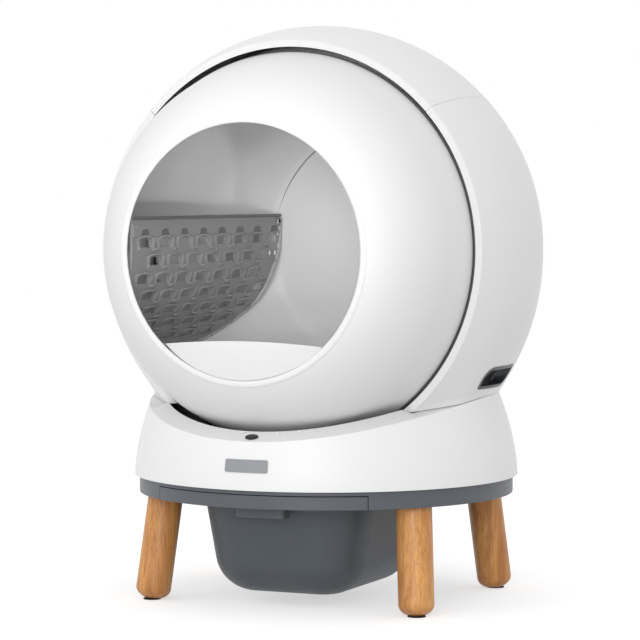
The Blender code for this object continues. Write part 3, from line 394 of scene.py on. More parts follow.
def buildMouldedGroup():
    # Moulded plastic: slow tone drift, fine spark-eroded grain, faint rubbed streaks in the gloss.
    tree, given = newGroup("mouldedPlastic", Colour=(0.8, 0.8, 0.8), Roughness=0.4, Grain=1400.0, Drift=0.03,
                           Rub=0.06)
    spot = objectPlace(tree)
    slow = noise(tree, spot, 5.0, 3.0)
    mid = noise(tree, spot, 60.0, 3.0)
    fine = noise(tree, spot, given["Grain"], 2.0, 0.6)
    drift = calc(tree, "MULTIPLY", calc(tree, "SUBTRACT", slow, 0.5), given["Drift"])
    drift = calc(tree, "ADD", calc(tree, "MULTIPLY", drift, 2.0), 1.0)
    rub = calc(tree, "MULTIPLY", calc(tree, "SUBTRACT", mid, 0.5), given["Rub"])
    rough = calc(tree, "ADD", given["Roughness"], calc(tree, "MULTIPLY", rub, 2.0), True)
    height = calc(tree, "ADD", fine, calc(tree, "MULTIPLY", mid, 0.25))
    return closeGroup(tree, Colour=scaleColour(tree, given["Colour"], drift), Roughness=rough, Height=height)


def buildWoodGroup():
    # Oiled hardwood: long streaks, growth bands and short dark pores, all running up the leg.
    tree, given = newGroup("oiledWood", Light=(0.80, 0.39, 0.120), Dark=(0.46, 0.175, 0.042),
                           Pore=(0.12, 0.05, 0.02))
    # Waves a metre along x, y and z, then detail and roughness: warp, bands, streaks, pores.
    patterns = (((30, 30, 6), 3.0, 0.6), ((150, 150, 7), 3.0, 0.55), ((620, 620, 14), 4.0, 0.62),
                ((900, 900, 60), 1.0, 0.4))
    warp, bands, streaks, pores = [noise(tree, objectPlace(tree, stretch), 1.0, detail, rough)
                                   for stretch, detail, rough in patterns]
    tone = calc(tree, "ADD", calc(tree, "MULTIPLY", bands, 0.55), calc(tree, "MULTIPLY", streaks, 0.45))
    tone = calc(tree, "ADD", tone, calc(tree, "MULTIPLY", calc(tree, "SUBTRACT", warp, 0.5), 0.5))
    tone = rangeOf(tree, tone, 0.36, 0.66, 0.0, 1.0)
    pore = rangeOf(tree, pores, 0.70, 0.78, 0.0, 0.75)
    colour = mixColour(tree, tone, given["Dark"], given["Light"])
    colour = mixColour(tree, pore, colour, given["Pore"])
    rough = rangeOf(tree, streaks, 0.3, 0.7, 0.52, 0.40)
    height = calc(tree, "SUBTRACT", streaks, calc(tree, "MULTIPLY", pore, 0.8))
    return closeGroup(tree, Colour=colour, Roughness=rough, Height=height)


def buildMetalGroup():
    # Turned metal: fine rings of tool marks along Y and a cloudy polish.
    tree, given = newGroup("turnedMetal", Colour=(0.6, 0.6, 0.62), Roughness=0.3)
    marks = noise(tree, objectPlace(tree, (20, 1800, 20)), 1.0, 2.0)
    cloud = noise(tree, objectPlace(tree), 90.0, 3.0)
    colour = scaleColour(tree, given["Colour"], rangeOf(tree, cloud, 0.3, 0.7, 0.88, 1.06))
    rough = calc(tree, "ADD", given["Roughness"], rangeOf(tree, marks, 0.3, 0.7, -0.08, 0.12))
    return closeGroup(tree, Colour=colour, Roughness=rough, Height=marks)


mouldedGroup = buildMouldedGroup()


def newMaterial(name, group, values, bump, shader):
    # A Principled material fed by a shared group; values are the group's inputs, bump its strength and depth.
    made = bpy.data.materials.new(name)
    made.use_nodes = True
    tree = made.node_tree
    body = tree.nodes["Principled BSDF"]
    effect = addNode(tree, "Group", node_tree=group)
    for key, value in values.items():
        feed(tree, effect.inputs[key], value)
    dent = addNode(tree, "Bump", in_Strength=bump[0], in_Distance=bump[1], in_Height=effect.outputs["Height"])
    tree.links.new(effect.outputs["Colour"], body.inputs["Base Color"])
    tree.links.new(effect.outputs["Roughness"], body.inputs["Roughness"])
    tree.links.new(dent.outputs["Normal"], body.inputs["Normal"])
    for key, value in shader.items():
        body.inputs[key].default_value = value
    return made


def plastic(name, colour, rough, grain=1400.0, drift=0.03, rub=0.06, bump=(0.12, 0.00006), specular=0.5):
    # Moulded plastic of one colour, with the texture's values where they differ from the usual ones.
    values = {"Colour": colour, "Roughness": rough, "Grain": grain, "Drift": drift, "Rub": rub}
    return newMaterial(name, mouldedGroup, values, bump, {"Specular IOR Level": specular})


plastics = {    # colour and roughness, then grain, drift, rub, bump and specular as in the function above
    "shellWhite": ((0.84, 0.84, 0.842), 0.40, 1400.0, 0.012),
    # painted light: the base's white is a lighter copy of the shell's white
    "baseWhiteLit": ((0.88, 0.88, 0.882), 0.40, 1400.0, 0.012),
    # painted shade: a greyer copy of the white for the ledge under the drum
    "ledgePaintedShade": ((0.77, 0.77, 0.772), 0.44, 1400.0, 0.012),
    "drumWhite": ((0.82, 0.82, 0.822), 0.40, 1400.0, 0.012, 0.06, (0.12, 0.00006), 0.3),
    # painted shade: the threshold's white is a darker copy of the white plastic
    "entryWhiteShaded": ((0.72, 0.72, 0.72), 0.42, 1400.0, 0.012),
    "skirtGrey": ((0.092, 0.102, 0.118), 0.42, 1100.0),
    "binGrey": ((0.066, 0.078, 0.092), 0.48, 1000.0, 0.03, 0.06, (0.2, 0.00008)),
    # painted shade: the dark tone on the drum's collar stands for the shadow in the gap
    "collarPaintedShade": ((0.10, 0.10, 0.102), 0.55, 1100.0),
    "gripGrey": ((0.035, 0.038, 0.043), 0.40, 1100.0),
    "drumGrey": ((0.87, 0.87, 0.87), 0.50, 1200.0, 0.012),
    "drumShade": ((0.74, 0.74, 0.74), 0.55, 1200.0, 0.012),
    "sifterShade": ((0.16, 0.16, 0.162), 0.40, 900.0, 0.04),
    # painted highlight: a lighter copy of the sifter's plastic for its rim
    "sifterEdgeHighlight": ((0.52, 0.52, 0.523), 0.30, 900.0, 0.04),
    "sifterDark": ((0.315, 0.315, 0.318), 0.34, 900.0, 0.04, 0.08),
    # painted highlight: on the lattice this is a lighter copy of the sheet's plastic
    "sifterGrey": ((0.40, 0.40, 0.404), 0.24, 900.0, 0.04, 0.08),
    # painted highlight: a pale copy of the sifter's plastic for glints on the clips
    "sifterGlintPaint": ((0.78, 0.78, 0.78), 0.14, 900.0, 0.04, 0.05),
    "innerGrey": ((0.28, 0.285, 0.30), 0.55, 900.0, 0.05),
    "gearCream": ((0.70, 0.69, 0.63), 0.42, 900.0, 0.04),
    "rubberBlack": ((0.028, 0.028, 0.030), 0.78, 700.0, 0.10, 0.10, (0.3, 0.0001)),
    "lensBlack": ((0.010, 0.010, 0.013), 0.08, 1800.0, 0.05, 0.03, (0.02, 0.00002)),
    "iconWhite": ((0.86, 0.87, 0.88), 0.40, 1800.0, 0.02),
    "badgeGrey": ((0.30, 0.31, 0.325), 0.40, 1500.0, 0.03),
    "boardGreen": ((0.05, 0.16, 0.09), 0.42, 260.0, 0.25, 0.2, (0.4, 0.0002)),
}
looks = {name: plastic(name, *values) for name, values in plastics.items()}
looks["legWood"] = newMaterial("legWood", buildWoodGroup(), {}, (0.18, 0.0002),
                               {"Coat Weight": 0.12, "Coat Roughness": 0.35})
looks["plainSteel"] = newMaterial("plainSteel", buildMetalGroup(), {}, (0.1, 0.00005), {"Metallic": 1.0})
nodeLooks = {
    "white_plastic": "shellWhite", "grey_plastic": "skirtGrey", "drum_grey": "drumGrey",
    "sifter_grey": "sifterGrey", "inner_plastic": "innerGrey", "gear_plastic": "gearCream", "wood": "legWood",
    "rubber": "rubberBlack", "steel": "plainSteel", "black_lens": "lensBlack", "icon_white": "iconWhite",
    "plate_grey": "badgeGrey", "board_green": "boardGreen",
}
for part in frame["record"]["subparts"]:
    nodeMaterials = frame["nodes"][part["node"]].data.materials
    nodeMaterials.clear()
    nodeMaterials.append(looks[nodeLooks[part["material_slot"]]])
print("materials made:", len(looks))


# Outer shell and its cover

shell = {
    "radius": 0.26149, "crown": 0.26319, "centreY": -0.009, "wall": 0.0065,
    "rimY": -0.111, "creaseY": -0.065, "rearY": 0.238, "rimThicken": 0.15, "rimRamp": 0.012,
    "waistRadius": 0.207, "waistHeight": 0.243, "waistCentreY": -0.005, "flarePower": 2.2,
    "coverAngle": radians(47.6), "coverBackY": 0.095, "coverGap": 0.0004, "seamGap": 0.0009,
    "rimHeight": 0.245, "rimDip": 0.047, "rimLevelY": 0.040, "rimRun": 0.269,
    "edgeRound": 0.0006, "coverRound": 0.0005, "seamRange": (radians(95), radians(150)), "farReach": 0.32,
    "rearThinY": 0.15, "rearShares": (0.985, 0.93, 0.8, 0.6, 0.4, 0.2, 0.0), "bandSteps": 14,
    "aroundSteps": 96, "alongSteps": 62, "topSteps": 44, "rearSteps": 52, "footSteps": 44,
}


def planSection(z, inset):
    # Radius and centre of the shell's plan circle: an ellipse over the axis, a flared waist below it.
    rise = np.clip((z - axisHeight) / (shell["crown"] - inset), 0, 1)
    upper = (shell["radius"] - inset) * np.sqrt(1 - rise ** 2)
    climb = np.clip((z - shell["waistHeight"]) / (axisHeight - shell["waistHeight"]), 0, 1)
    share = 1 - (1 - climb) ** shell["flarePower"]
    lower = shell["waistRadius"] + (shell["radius"] - shell["waistRadius"]) * share - inset
    centre = shell["waistCentreY"] + (shell["centreY"] - shell["waistCentreY"]) * share
    above = z > axisHeight
    return np.where(above, upper, lower), np.where(above, shell["centreY"], centre)


def narrowing(z, y, inset):
    # Share by which the band in front of the crease draws in to the round front rim.
    radius, centre = planSection(z, inset)
    rimRadius2 = (shell["radius"] - inset) ** 2 - (shell["rimY"] - shell["centreY"]) ** 2
    flared = np.sqrt(np.maximum(radius ** 2 - (shell["rimY"] - centre) ** 2, tiny))
    rim = np.sqrt(np.maximum(rimRadius2 - (z - axisHeight) ** 2, tiny))
    band = np.clip((shell["creaseY"] - y) / (shell["creaseY"] - shell["rimY"]), 0, 1)
    return np.where(z < axisHeight, 1 - (1 - rim / flared) * band, 1.0)


def shellReach(angle, y, inset):
    # Distance from the drum's axis to the shell along an angle from the top, found by halving.
    def outside(reach):
        z = axisHeight + reach * np.cos(angle)
        radius, centre = planSection(z, inset)
        x = reach * np.sin(np.abs(angle)) / narrowing(z, y, inset)
        # Above the crown the plan circle has no size, so everything there is outside.
        return (x ** 2 + (y - centre) ** 2 > radius ** 2) | (z > axisHeight + shell["crown"] - inset)

    low = np.zeros(np.broadcast(angle, y).shape)
    return halve(low, low + shell["farReach"], outside)


def shellPoints(angle, y, inset):
    # Points of the shell: as far from the axis as it reaches at each angle from the top.
    return aboutDrum(angle, shellReach(angle, y, inset), y)


def baseRim(y):
    # Height of the base's rim: level at the back, dipping in a parabola to the front.
    run = np.maximum(shell["rimLevelY"] - y, 0) / shell["rimRun"]
    return shell["rimHeight"] - shell["rimDip"] * run ** 2


def rimInset(y, inset):
    # The wall grows a little thicker as it comes to the rim.
    share = np.clip((shell["rimY"] + shell["rimRamp"] - y) / shell["rimRamp"], 0, 1)
    return inset * (1 + shell["rimThicken"] * share)


def seamAngle(y, inset):
    # Angle from the top at which the shell meets the base's rim, found by halving.
    def below(angle):
        return axisHeight + shellReach(angle, y, inset) * np.cos(angle) < baseRim(y) + shell["seamGap"]

    return halve(*(np.full(np.shape(y), end) for end in shell["seamRange"]), below)


def shellSheet(inset):
    # Two side grids in front of the cover's back edge and one polar grid that closes the rear.
    s = shell
    yFront = np.concatenate([np.linspace(s["rimY"], s["creaseY"], s["bandSteps"] + 1)[:-1],
                             np.linspace(s["creaseY"], s["coverBackY"], s["alongSteps"] - s["bandSteps"])])
    share = np.linspace(0, 1, s["aroundSteps"] + 1)
    ends = seamAngle(yFront, inset)
    angles = s["coverAngle"] + (ends[:, None] - s["coverAngle"]) * share
    right = shellPoints(angles, yFront[:, None], rimInset(yFront, inset)[:, None])
    left = right * np.array([-1, 1, 1])
    side = gridFaces(len(yFront), len(share))

    z = s["rimHeight"] + s["seamGap"]
    radius, centre = planSection(np.array(z), inset)
    top = np.linspace(0, s["coverAngle"], s["topSteps"] + 1)[:-1]
    foot = np.linspace(ends[-1], pi, s["footSteps"] + 1)[1:]
    half = np.concatenate([top, angles[-1], foot])
    footX = (axisHeight - z) * np.tan(pi - foot)
    footY = centre + np.sqrt(radius ** 2 - footX ** 2)
    startY = np.concatenate([np.full(len(top) + len(share), s["coverBackY"]), footY])
    half = np.concatenate([half, -half[-2:0:-1]])
    startY = np.concatenate([startY, startY[-2:0:-1]])
    # Rows run back along the sphere's own angle, so that they stay evenly spaced.
    begin = np.arcsin((startY - s["centreY"]) / s["radius"])[:, None]
    finish = asin((s["rearY"] - s["centreY"]) / s["radius"])
    turn = begin + (finish - begin) * np.linspace(0, 1, s["rearSteps"] + 1)
    rows = s["centreY"] + s["radius"] * np.sin(turn)
    rear = shellPoints(half[:, None], rows, inset)
    rear[..., 1] -= inset * np.clip((rows - s["rearThinY"]) / (s["rearY"] - s["rearThinY"]), 0, 1)
    middle = np.array([0, s["rearY"] - inset, axisHeight])
    flat = middle + (rear[:, -1:] - middle) * np.array(s["rearShares"])[:, None]
    rear = np.concatenate([rear, flat], axis=1)
    return [(right, side), (left, side), (rear, gridFaces(len(half), rear.shape[1], True, False))]


def coverSheet(inset):
    # The shell's own surface between the cover's two edges, from the rim back to its rear edge.
    s = shell
    end = s["coverAngle"] - s["coverGap"] / s["radius"]
    angle = np.linspace(-end, end, 2 * s["topSteps"] + 1)
    y = np.linspace(s["rimY"], s["coverBackY"] - s["coverGap"], s["alongSteps"])
    points = shellPoints(angle[None, :], y[:, None], rimInset(y, inset)[:, None])
    return [(points, gridFaces(len(y), len(angle)))]


grip = {
    "height": 0.267, "tall": 0.023, "front": radians(-11), "back": radians(9.5), "cut": (-0.03, 0.01),
    "corners": (0.0035, 0.0180, 0.0035, 0.0190), "leastCorner": 0.001, "cornerShare": 0.83, "cornerSteps": 10,
    "sideSteps": 5,
    # Growth of the outline and height above the shell: outer wall, flange, inner wall and floor of the cup.
    "section": ((-0.0066, -0.018), (-fit, -0.018), (-fit, fit), (0.0013, fit), (0.0015, 0.0006),
                (0.0010, 0.0006), (-0.0016, 0.0006), (-0.0022, 0.0002), (-0.0024, -0.004),
                (-0.0028, -0.0128), (-0.0052, -0.0158)),
}


def gripOutline(grow):
    # Slot with two tight and two wide corners, as (angle round the shell, height), grown by a distance.
    g = grip
    radius = float(planSection(np.array(g["height"]), 0)[0])
    half = g["tall"] / 2 + grow
    front, back = g["front"] * radius - grow, g["back"] * radius + grow
    sizes = [max(size + grow, g["leastCorner"]) for size in g["corners"]]
    places = [(front, -half), (back, -half), (back, half), (front, half)]
    corners = [(*place, size) for place, size in zip(places, sizes)]
    outline = densify(roundProfile(corners, g["cornerSteps"], g["cornerShare"]), g["sideSteps"])
    return outline / np.array([radius, 1])


def gripRing(side, grow, out):
    # The outline wrapped round the shell's plan circle, a distance outside it.
    angle, up = gripOutline(grow).T
    z = grip["height"] + up
    radius, centre = planSection(z, 0)
    return spread(side * (radius + out) * np.cos(angle), centre + (radius + out) * np.sin(angle), z)


def makeShell():
    # Shell and cover are closed walls between two surfaces; the shell has a slot on each side.
    obj = dress("outerShell", wallFromSheets(shellSheet, shell["wall"]), "shellWhite", "housing",
                ["lower_shell"])
    for side in (1, -1):
        cutWith(obj, stackRings([gripRing(side, 0, out) for out in grip["cut"]]))
    roundEdges(obj, shell["edgeRound"])
    cover = dress("liftCover", wallFromSheets(coverSheet, shell["wall"]), "shellWhite", "top_cover",
                  ["top_cover"])
    roundEdges(cover, shell["coverRound"])


def makeGripCups():
    # Each cup is the slot's outline carried through the cup's section.
    for side, word in ((1, "Right"), (-1, "Left")):
        rings = [gripRing(side, grow, out) for grow, out in grip["section"]]
        dress("gripCup" + word, stackRings(rings), "gripGrey", "housing",
              ["grip_cup_" + word.lower()])


makeShell()
makeGripCups()
print("shell, cover and grips made")


# Drum

drum = {
    "mouth": 0.1445, "bead": 0.004, "beadForward": 0.0022, "beadTurn": (pi / 2, 1.75 * pi), "beadSteps": 16,
    "lipY": -0.234, "dome": 0.2285, "wall": 0.003, "around": 224,
    "edgeY": -0.109, "edgeRound": 0.0030, "edgeSteps": 8, "coneAngle": radians(16), "coneEndY": -0.153,
    "coneSteps": 8, "arcSteps": 30, "collarStart": 0.0016, "collarDeep": 0.0025, "trackY": -0.0995,
    # Steps of the track: outwards from the dome's radius and forwards from the track's rear.
    "trackSteps": ((0.0005, 0), (0.0013, 0.0008), (0.0013, 0.0044), (-0.0004, 0.0050), (-0.0004, 0.0056)),
    "bowl": 0.243, "bowlWall": 0.003, "bowlFrontY": -0.104, "flangeGap": 0.0006, "bowlSteps": 190,
    "discY": 0.180, "discRadius": 0.150, "discRound": 0.012, "discShares": (0.66, 0.33, 0), "turnSteps": 12,
    "seamRadius": 0.150, "seamTurn": (-75, 75), "seamSteps": 60, "seamThick": (0.0001, 0.0007), "seamFade": 8,
    "portY": (-0.075, 0.022), "portZ": (-0.078, 0.028), "portRows": (8, 29), "portSteps": 30, "backSteps": 29,
    "sealThick": 0.002,
}


def domeArc(inset):
    # The drum's front from its collar to the lip as (radius, y): a cone, then an arc that meets it smoothly.
    d = drum
    cone = d["coneAngle"]
    lean = np.array([cos(cone), sin(cone)])
    start = np.array([d["dome"], -d["edgeY"]])
    reach = -d["coneEndY"] + d["edgeY"]
    joint = start + np.array([-reach * tan(cone), reach])
    chord = np.array([d["mouth"] + d["bead"] * 2, -d["lipY"]]) - joint
    length = np.hypot(*chord)
    chordTurn = acos(chord[1] / length)
    radius = length / 2 / sin(chordTurn - cone)
    angle = np.linspace(cone, 2 * chordTurn - cone, d["arcSteps"] + 1)
    arc = (joint - radius * lean)[:, None] + (radius - inset) * np.array([np.cos(angle), np.sin(angle)])
    straight = (start - inset * lean)[:, None]
    straight = straight + (arc[:, :1] - straight) * np.linspace(0, 1, d["coneSteps"] + 1)[:-1]
    return np.concatenate([straight, arc], axis=1).T * np.array([1, -1])


def makeDrumFront():
    # One closed section turned round the axis: track, rounded edge, dome, bead of the mouth, inner wall.
    d = drum
    outer, inner = domeArc(0), domeArc(d["wall"])
    turn = np.linspace(*d["beadTurn"], d["beadSteps"] + 1)
    bead = np.column_stack([d["mouth"] + d["bead"] + d["bead"] * np.sin(turn),
                            d["lipY"] + d["beadForward"] * np.cos(turn)])
    track = [(d["dome"] + out, d["trackY"] - ahead) for out, ahead in d["trackSteps"]]
    # The rounded edge shows as a soft line beside the shell's rim.
    joint = d["coneSteps"]
    edge = roundProfile([(*track[-1], 0), (*outer[0], d["edgeRound"]), (*outer[joint], 0)], d["edgeSteps"])
    profile = np.concatenate([track[:-1], edge, outer[joint + 1:-1], bead, inner[-2:0:-1],
                              [[inner[0, 0], d["trackY"]]]])
    grid = revolve(profile, d["around"])
    obj = dress("drumFace", grid, "drumWhite", "drum", ["drum_front"])
    # Painted shade in the gap: the collar behind the edge takes a rough dark tone that stands for the shadow
    # deep in the gap.
    toneFaces(obj, "collarPaintedShade", lambda x, y, z: (y > d["edgeY"] + d["collarStart"])
              & (np.hypot(x, z - axisHeight) > d["dome"] - d["collarDeep"]))


def ballProfile(ball, angle):
    # (radius, y) on a ball about the shell's centre, by the angle from its rearmost point.
    return np.column_stack([ball * np.sin(angle), shell["centreY"] + ball * np.cos(angle)])


def bowlProfile(grow):
    # Front flange, ball, a wide soft turn and the flat back, as (radius, y).
    d = drum
    ball = d["bowl"] + grow
    startY = d["bowlFrontY"] + d["bowlWall"] + grow
    rim, *port = [pi / 2 + asin((shell["centreY"] - y) / ball) for y in (startY, *d["portY"])]
    edge = asin((d["discRadius"] + d["discRound"] + grow) / ball)
    first, last = d["portRows"]
    angle = np.concatenate([np.linspace(rim, port[0], first)[:-1], np.linspace(*port, last - first + 1)[:-1],
                            np.linspace(port[1], edge, d["backSteps"] + 1)])
    side = ballProfile(ball, angle)
    discY = d["discY"] + grow
    end = side[-1]
    slope = np.array([shell["centreY"] - end[1], end[0]])
    corner = end + slope * (discY - end[1]) / slope[1]
    finish = np.array([corner[0] - np.hypot(*(corner - end)), discY])
    disc = [[finish[0] * share, discY] for share in d["discShares"]]
    flange = [[d["dome"] - d["wall"] - d["flangeGap"], startY]]
    return np.concatenate([flange, side, curveTo(end, corner, finish, d["turnSteps"])[1:], disc])


def bowlSheet(grow):
    # The bowl's profile turned round the axis, and which of its faces the waste port leaves.
    d = drum
    profile = bowlProfile(grow)
    low, high = [-pi / 2 + asin(z / d["bowl"]) for z in d["portZ"]]
    turn = np.concatenate([np.linspace(low, high, d["portSteps"] + 1)[:-1],
                           np.linspace(high, low + 2 * pi, d["bowlSteps"])[:-1]])
    points = aboutDrum(turn[:, None], profile[:, 0], profile[:, 1])
    faces = gridFaces(len(turn), len(profile), True, False).reshape(len(turn), len(profile) - 1, 4)
    keep = np.ones(faces.shape[:2], bool)
    keep[:d["portSteps"], slice(*d["portRows"])] = False
    return points.reshape(-1, 3), faces, keep


def makeBowl():
    # The bowl's wall between two turned sheets, and the hairline moulded inside it.
    d = drum
    outer, faces, keep = bowlSheet(0.0)
    inner, _, _ = bowlSheet(-d["bowlWall"])
    grid = wallBetween(outer, inner, faces[keep])
    obj = dress("drumBowl", grid, "drumGrey", "drum", ["drum_bowl"])
    # The hairline runs where the back's panel meets the side, from the sifter's corner up to the top.
    turn = np.radians(np.linspace(*d["seamTurn"], d["seamSteps"]))
    wall = bowlProfile(-d["bowlWall"])[:0:-1]
    line = aboutDrum(turn, d["seamRadius"], np.interp(d["seamRadius"], wall[:, 0], wall[:, 1]))
    inward = np.array([0, shell["centreY"], axisHeight]) - line
    step = np.arange(d["seamSteps"])
    least, more = d["seamThick"]
    thick = more * np.minimum(1, np.minimum(step, step[::-1]) / d["seamFade"]) + least
    dress("bowlSeam", tube(line, inward, thick, 6), "innerGrey", "drum")
    return obj


def makePortSeal():
    # A thin band on the bowl's outside: the faces within one or two rows of the port.
    d = drum
    outer, faces, keep = bowlSheet(fit + d["sealThick"])
    inner, _, _ = bowlSheet(fit)
    near = np.zeros(keep.shape, bool)
    rows = slice(d["portRows"][0] - 1, d["portRows"][1] + 1)
    near[-2:, rows] = True
    near[:d["portSteps"] + 2, rows] = True
    grid = wallBetween(outer, inner, faces[near & keep])
    dress("portSeal", grid, "rubberBlack", "drum", ["port_seal"])


makeDrumFront()
bowl = makeBowl()
makePortSeal()
print("drum made")


# Sifter and entry threshold

sifter = {
    "x": 0.143, "top": 0.038, "straight": 0.046, "bendRadius": 0.110, "bend": radians(38), "reach": 0.085,
    "thick": 0.003, "frontY": -0.228, "sheetFrontY": -0.236, "clear": 0.0006, "margin": 0.0016,
    "runSteps": 90, "acrossSteps": 60, "lowExtra": 0.02, "cutDeep": 0.004,
    "rowPitch": 0.021, "pitch": 0.050, "slotLong": 0.029, "slotTall": 0.0100, "slotRound": 0.0032,
    "slotTight": 0.0012, "slotTaper": 0.86, "firstRow": 0.0300, "firstY": -0.170, "rows": 7, "columns": 9,
    "frontSpare": 0.012, "rearSpare": 0.010, "shadeMargin": 0.006,
    "cavityTurn": ((0.011, 0.0), (0.004, 0.0014)), "cavitySteps": (40, 160),
    "edgeRuns": (0, 0.020, 0.0375, 0.050, 0.0625, 0.075, 0.0875, 0.100, 0.1125, 0.125, 0.140),
    "edgeYs": (0.1765, 0.1760, 0.1725, 0.1665, 0.1595, 0.1540, 0.1500, 0.1470, 0.1430, 0.1360, 0.1195),
}
sheetRuns = np.linspace(0, sifter["straight"] + sifter["bendRadius"] * sifter["bend"] + sifter["reach"],
                        sifter["runSteps"])
sheetFace = sifter["thick"] / 2


def sheetTurn(run):
    # How far the sheet has bent at a distance down it.
    return np.clip((run - sifter["straight"]) / sifter["bendRadius"], 0, sifter["bend"])


def sifterPoint(run, out=0.0):
    # Section of the sheet: straight down, a bend, straight on; out is measured to the cat's side.
    s = sifter
    turn = sheetTurn(run)
    x = -s["x"] - s["bendRadius"] * (1 - np.cos(turn))
    z = s["top"] - np.minimum(run, s["straight"]) - s["bendRadius"] * np.sin(turn)
    rest = np.maximum(run - s["straight"] - s["bendRadius"] * s["bend"], 0)
    x = x - rest * np.sin(turn) + out * np.cos(turn)
    z = z - rest * np.cos(turn) - out * np.sin(turn)
    return x, axisHeight + z


def sheetGrid(run, y, out):
    # Points of the sheet by the distance down it, the place along the axis and the height above its middle.
    run, y = np.broadcast_arrays(run, y)
    x, z = sifterPoint(run, out)
    return spread(x, y, z)


def cavityGrid(clear):
    # The inside of the drum as one turned solid, a little smaller than the drum's walls.
    d, s = drum, sifter
    rows, around = s["cavitySteps"]
    front = domeArc(d["wall"] + clear)
    front = front[front[:, 1] > s["frontY"]]
    ball = d["bowl"] - d["bowlWall"] - clear
    edge = asin((d["discRadius"] - d["bowlWall"]) / ball)
    rim = pi / 2 + asin((shell["centreY"] - d["bowlFrontY"]) / ball)
    back = ballProfile(ball, np.linspace(edge, rim, rows))
    discY = d["discY"] - d["bowlWall"] - clear
    mouth = d["mouth"] - clear
    disc = [[0, discY]] + [[back[0, 0] - within, discY - ahead] for within, ahead in s["cavityTurn"]]
    lip = [[mouth, front[-1, 1]], [mouth, s["frontY"]], [0, s["frontY"]]]
    return revolve(np.concatenate([disc, back, front, lip]), around, closed=False)


def sifterLimits(run):
    # The foremost and rearmost y at which the sheet still lies inside the drum.
    s, d = sifter, drum
    x, z = sifterPoint(np.asarray(run, float))
    reach = np.hypot(x, z - axisHeight)
    ball = d["bowl"] - d["bowlWall"] - s["clear"]
    back = shell["centreY"] + np.sqrt(np.maximum(ball ** 2 - reach ** 2, 0))
    front = domeArc(d["wall"] + s["clear"])[::-1]
    back = np.minimum(back, np.interp(run, s["edgeRuns"], s["edgeYs"]))
    return np.maximum(np.interp(reach, front[:, 0], front[:, 1]), s["frontY"]), back


def sifterBar(run, y, out, radius, sides=8):
    # A round bar on the sheet, held inside the drum's walls.
    run, y, out = np.broadcast_arrays(*(np.asarray(v, float) for v in (run, y, out)))
    low, high = sifterLimits(run)
    y = np.clip(y, low + sifter["margin"], high - sifter["margin"])
    turn = sheetTurn(run)
    return tube(sheetGrid(run, y, out), spread(np.cos(turn), 0.0, -np.sin(turn)), radius, sides)


def sifterCells():
    # Middle of each window as (run, y), staggered by half a pitch from row to row.
    s = sifter
    cells = []
    for row in range(s["rows"]):
        run = s["firstRow"] + s["rowPitch"] * row
        low, high = sifterLimits(run)
        for column in range(s["columns"]):
            y = s["firstY"] - s["pitch"] * 1.5 + s["pitch"] * column + s["pitch"] / 2 * (row % 2)
            if low + s["frontSpare"] < y < high - s["rearSpare"]:
                cells.append((run, y))
    return cells


def windowOutline(run, y):
    # A window as (runs, places): a wide low side with tight corners, a narrower one with round corners.
    s = sifter
    half, long = s["slotTall"] / 2, s["slotLong"] / 2
    short = long * s["slotTaper"]
    outline = roundProfile([(-long, half, s["slotTight"]), (long, half, s["slotTight"]),
                            (short, -half, s["slotRound"]), (-short, -half, s["slotRound"])])
    low, high = sifterLimits(run + outline[:, 1])
    place = np.clip(y + outline[:, 0], low + s["margin"] * 2, high - s["margin"] * 2)
    return run + outline[:, 1], place


def slotCutters():
    # A prism through the sheet for each window that isn't pressed flat by the drum's wall.
    grids = []
    for run, y in sifterCells():
        runs, places = windowOutline(run, y)
        if np.ptp(places) > sifter["slotTall"] / 2:
            grids.append(stackRings([sheetGrid(runs, places, side * sifter["cutDeep"]) for side in (-1, 1)]))
    return joinGrids(grids)


lattice = {     # pairs are a measure at the ends of an arched bar and what its middle adds
    "hoodSteps": 15, "hoodRun": (0.0002, 0.0026), "hoodWide": 0.0006, "hoodLift": (0.0003, 0.0010),
    "hoodThick": (0.0008, 0.0004), "ribSteps": 9, "ribShifts": (0.0020, 0.0056), "ribRun": (0.001, 0.0032),
    "ribSway": 0.0012, "ribLift": 0.0005, "ribThick": 0.0006,
    "hookSteps": 11, "hookTurn": (0.15, 1.1), "hookRun": (0.0048, -0.0030), "hookHalf": 0.0075,
    "hookLift": (0.0006, 0.0012), "hookThick": (0.0010, 0.0005),
    "apronTop": 0.0085, "apronLow": 0.0238, "apronSteps": 700, "apronRows": 6, "apronLift": (-0.0004, 0.0013),
    "knobTop": 0.0135, "knobHalf": 0.0105, "knobRise": 0.004, "knobSoft": 0.0004,
    "shoulder": 0.0200, "shoulderPower": 0.8,
    "notchHalf": 0.0088, "notchTall": 0.0052, "notchDeep": 0.0004, "notchGap": 0.0006, "notchSteps": 24,
}


def arched(turn, measure):
    # A measure at the ends of an arch, plus the sine of the turn times what the middle adds.
    return measure[0] + measure[1] * np.sin(turn)


def sifterRelief():
    # The moulded lattice: a hood over each window, paired ribs beside it and hooks between the rows.
    m = lattice
    long, half = sifter["slotLong"] / 2, sifter["slotTall"] / 2
    hood = pi * np.linspace(0, 1, m["hoodSteps"])
    hook = pi * np.linspace(*m["hookTurn"], m["hookSteps"])
    sway = m["ribSway"] * np.sin(np.linspace(0, 2 * pi, m["ribSteps"]))
    bars = []
    for run, y in sifterCells():
        place = y - (long + m["hoodWide"]) * np.cos(hood)
        bars.append(sifterBar(run - half - arched(hood, m["hoodRun"]), place,
                              sheetFace + arched(hood, m["hoodLift"]), arched(hood, m["hoodThick"])))
        down = np.linspace(run - half - m["ribRun"][0], run + half + m["ribRun"][1], m["ribSteps"])
        for side in (-1, 1):
            for shift in m["ribShifts"]:
                place = y + side * (long + shift) + sway * side
                bars.append(sifterBar(down, place, sheetFace + m["ribLift"], m["ribThick"], 6))
        place = y + sifter["pitch"] / 2 - m["hookHalf"] * np.cos(hook)
        bars.append(sifterBar(run + half + arched(hook, m["hookRun"]), place,
                              sheetFace + arched(hook, m["hookLift"]), arched(hook, m["hookThick"])))
    return joinGrids(bars)


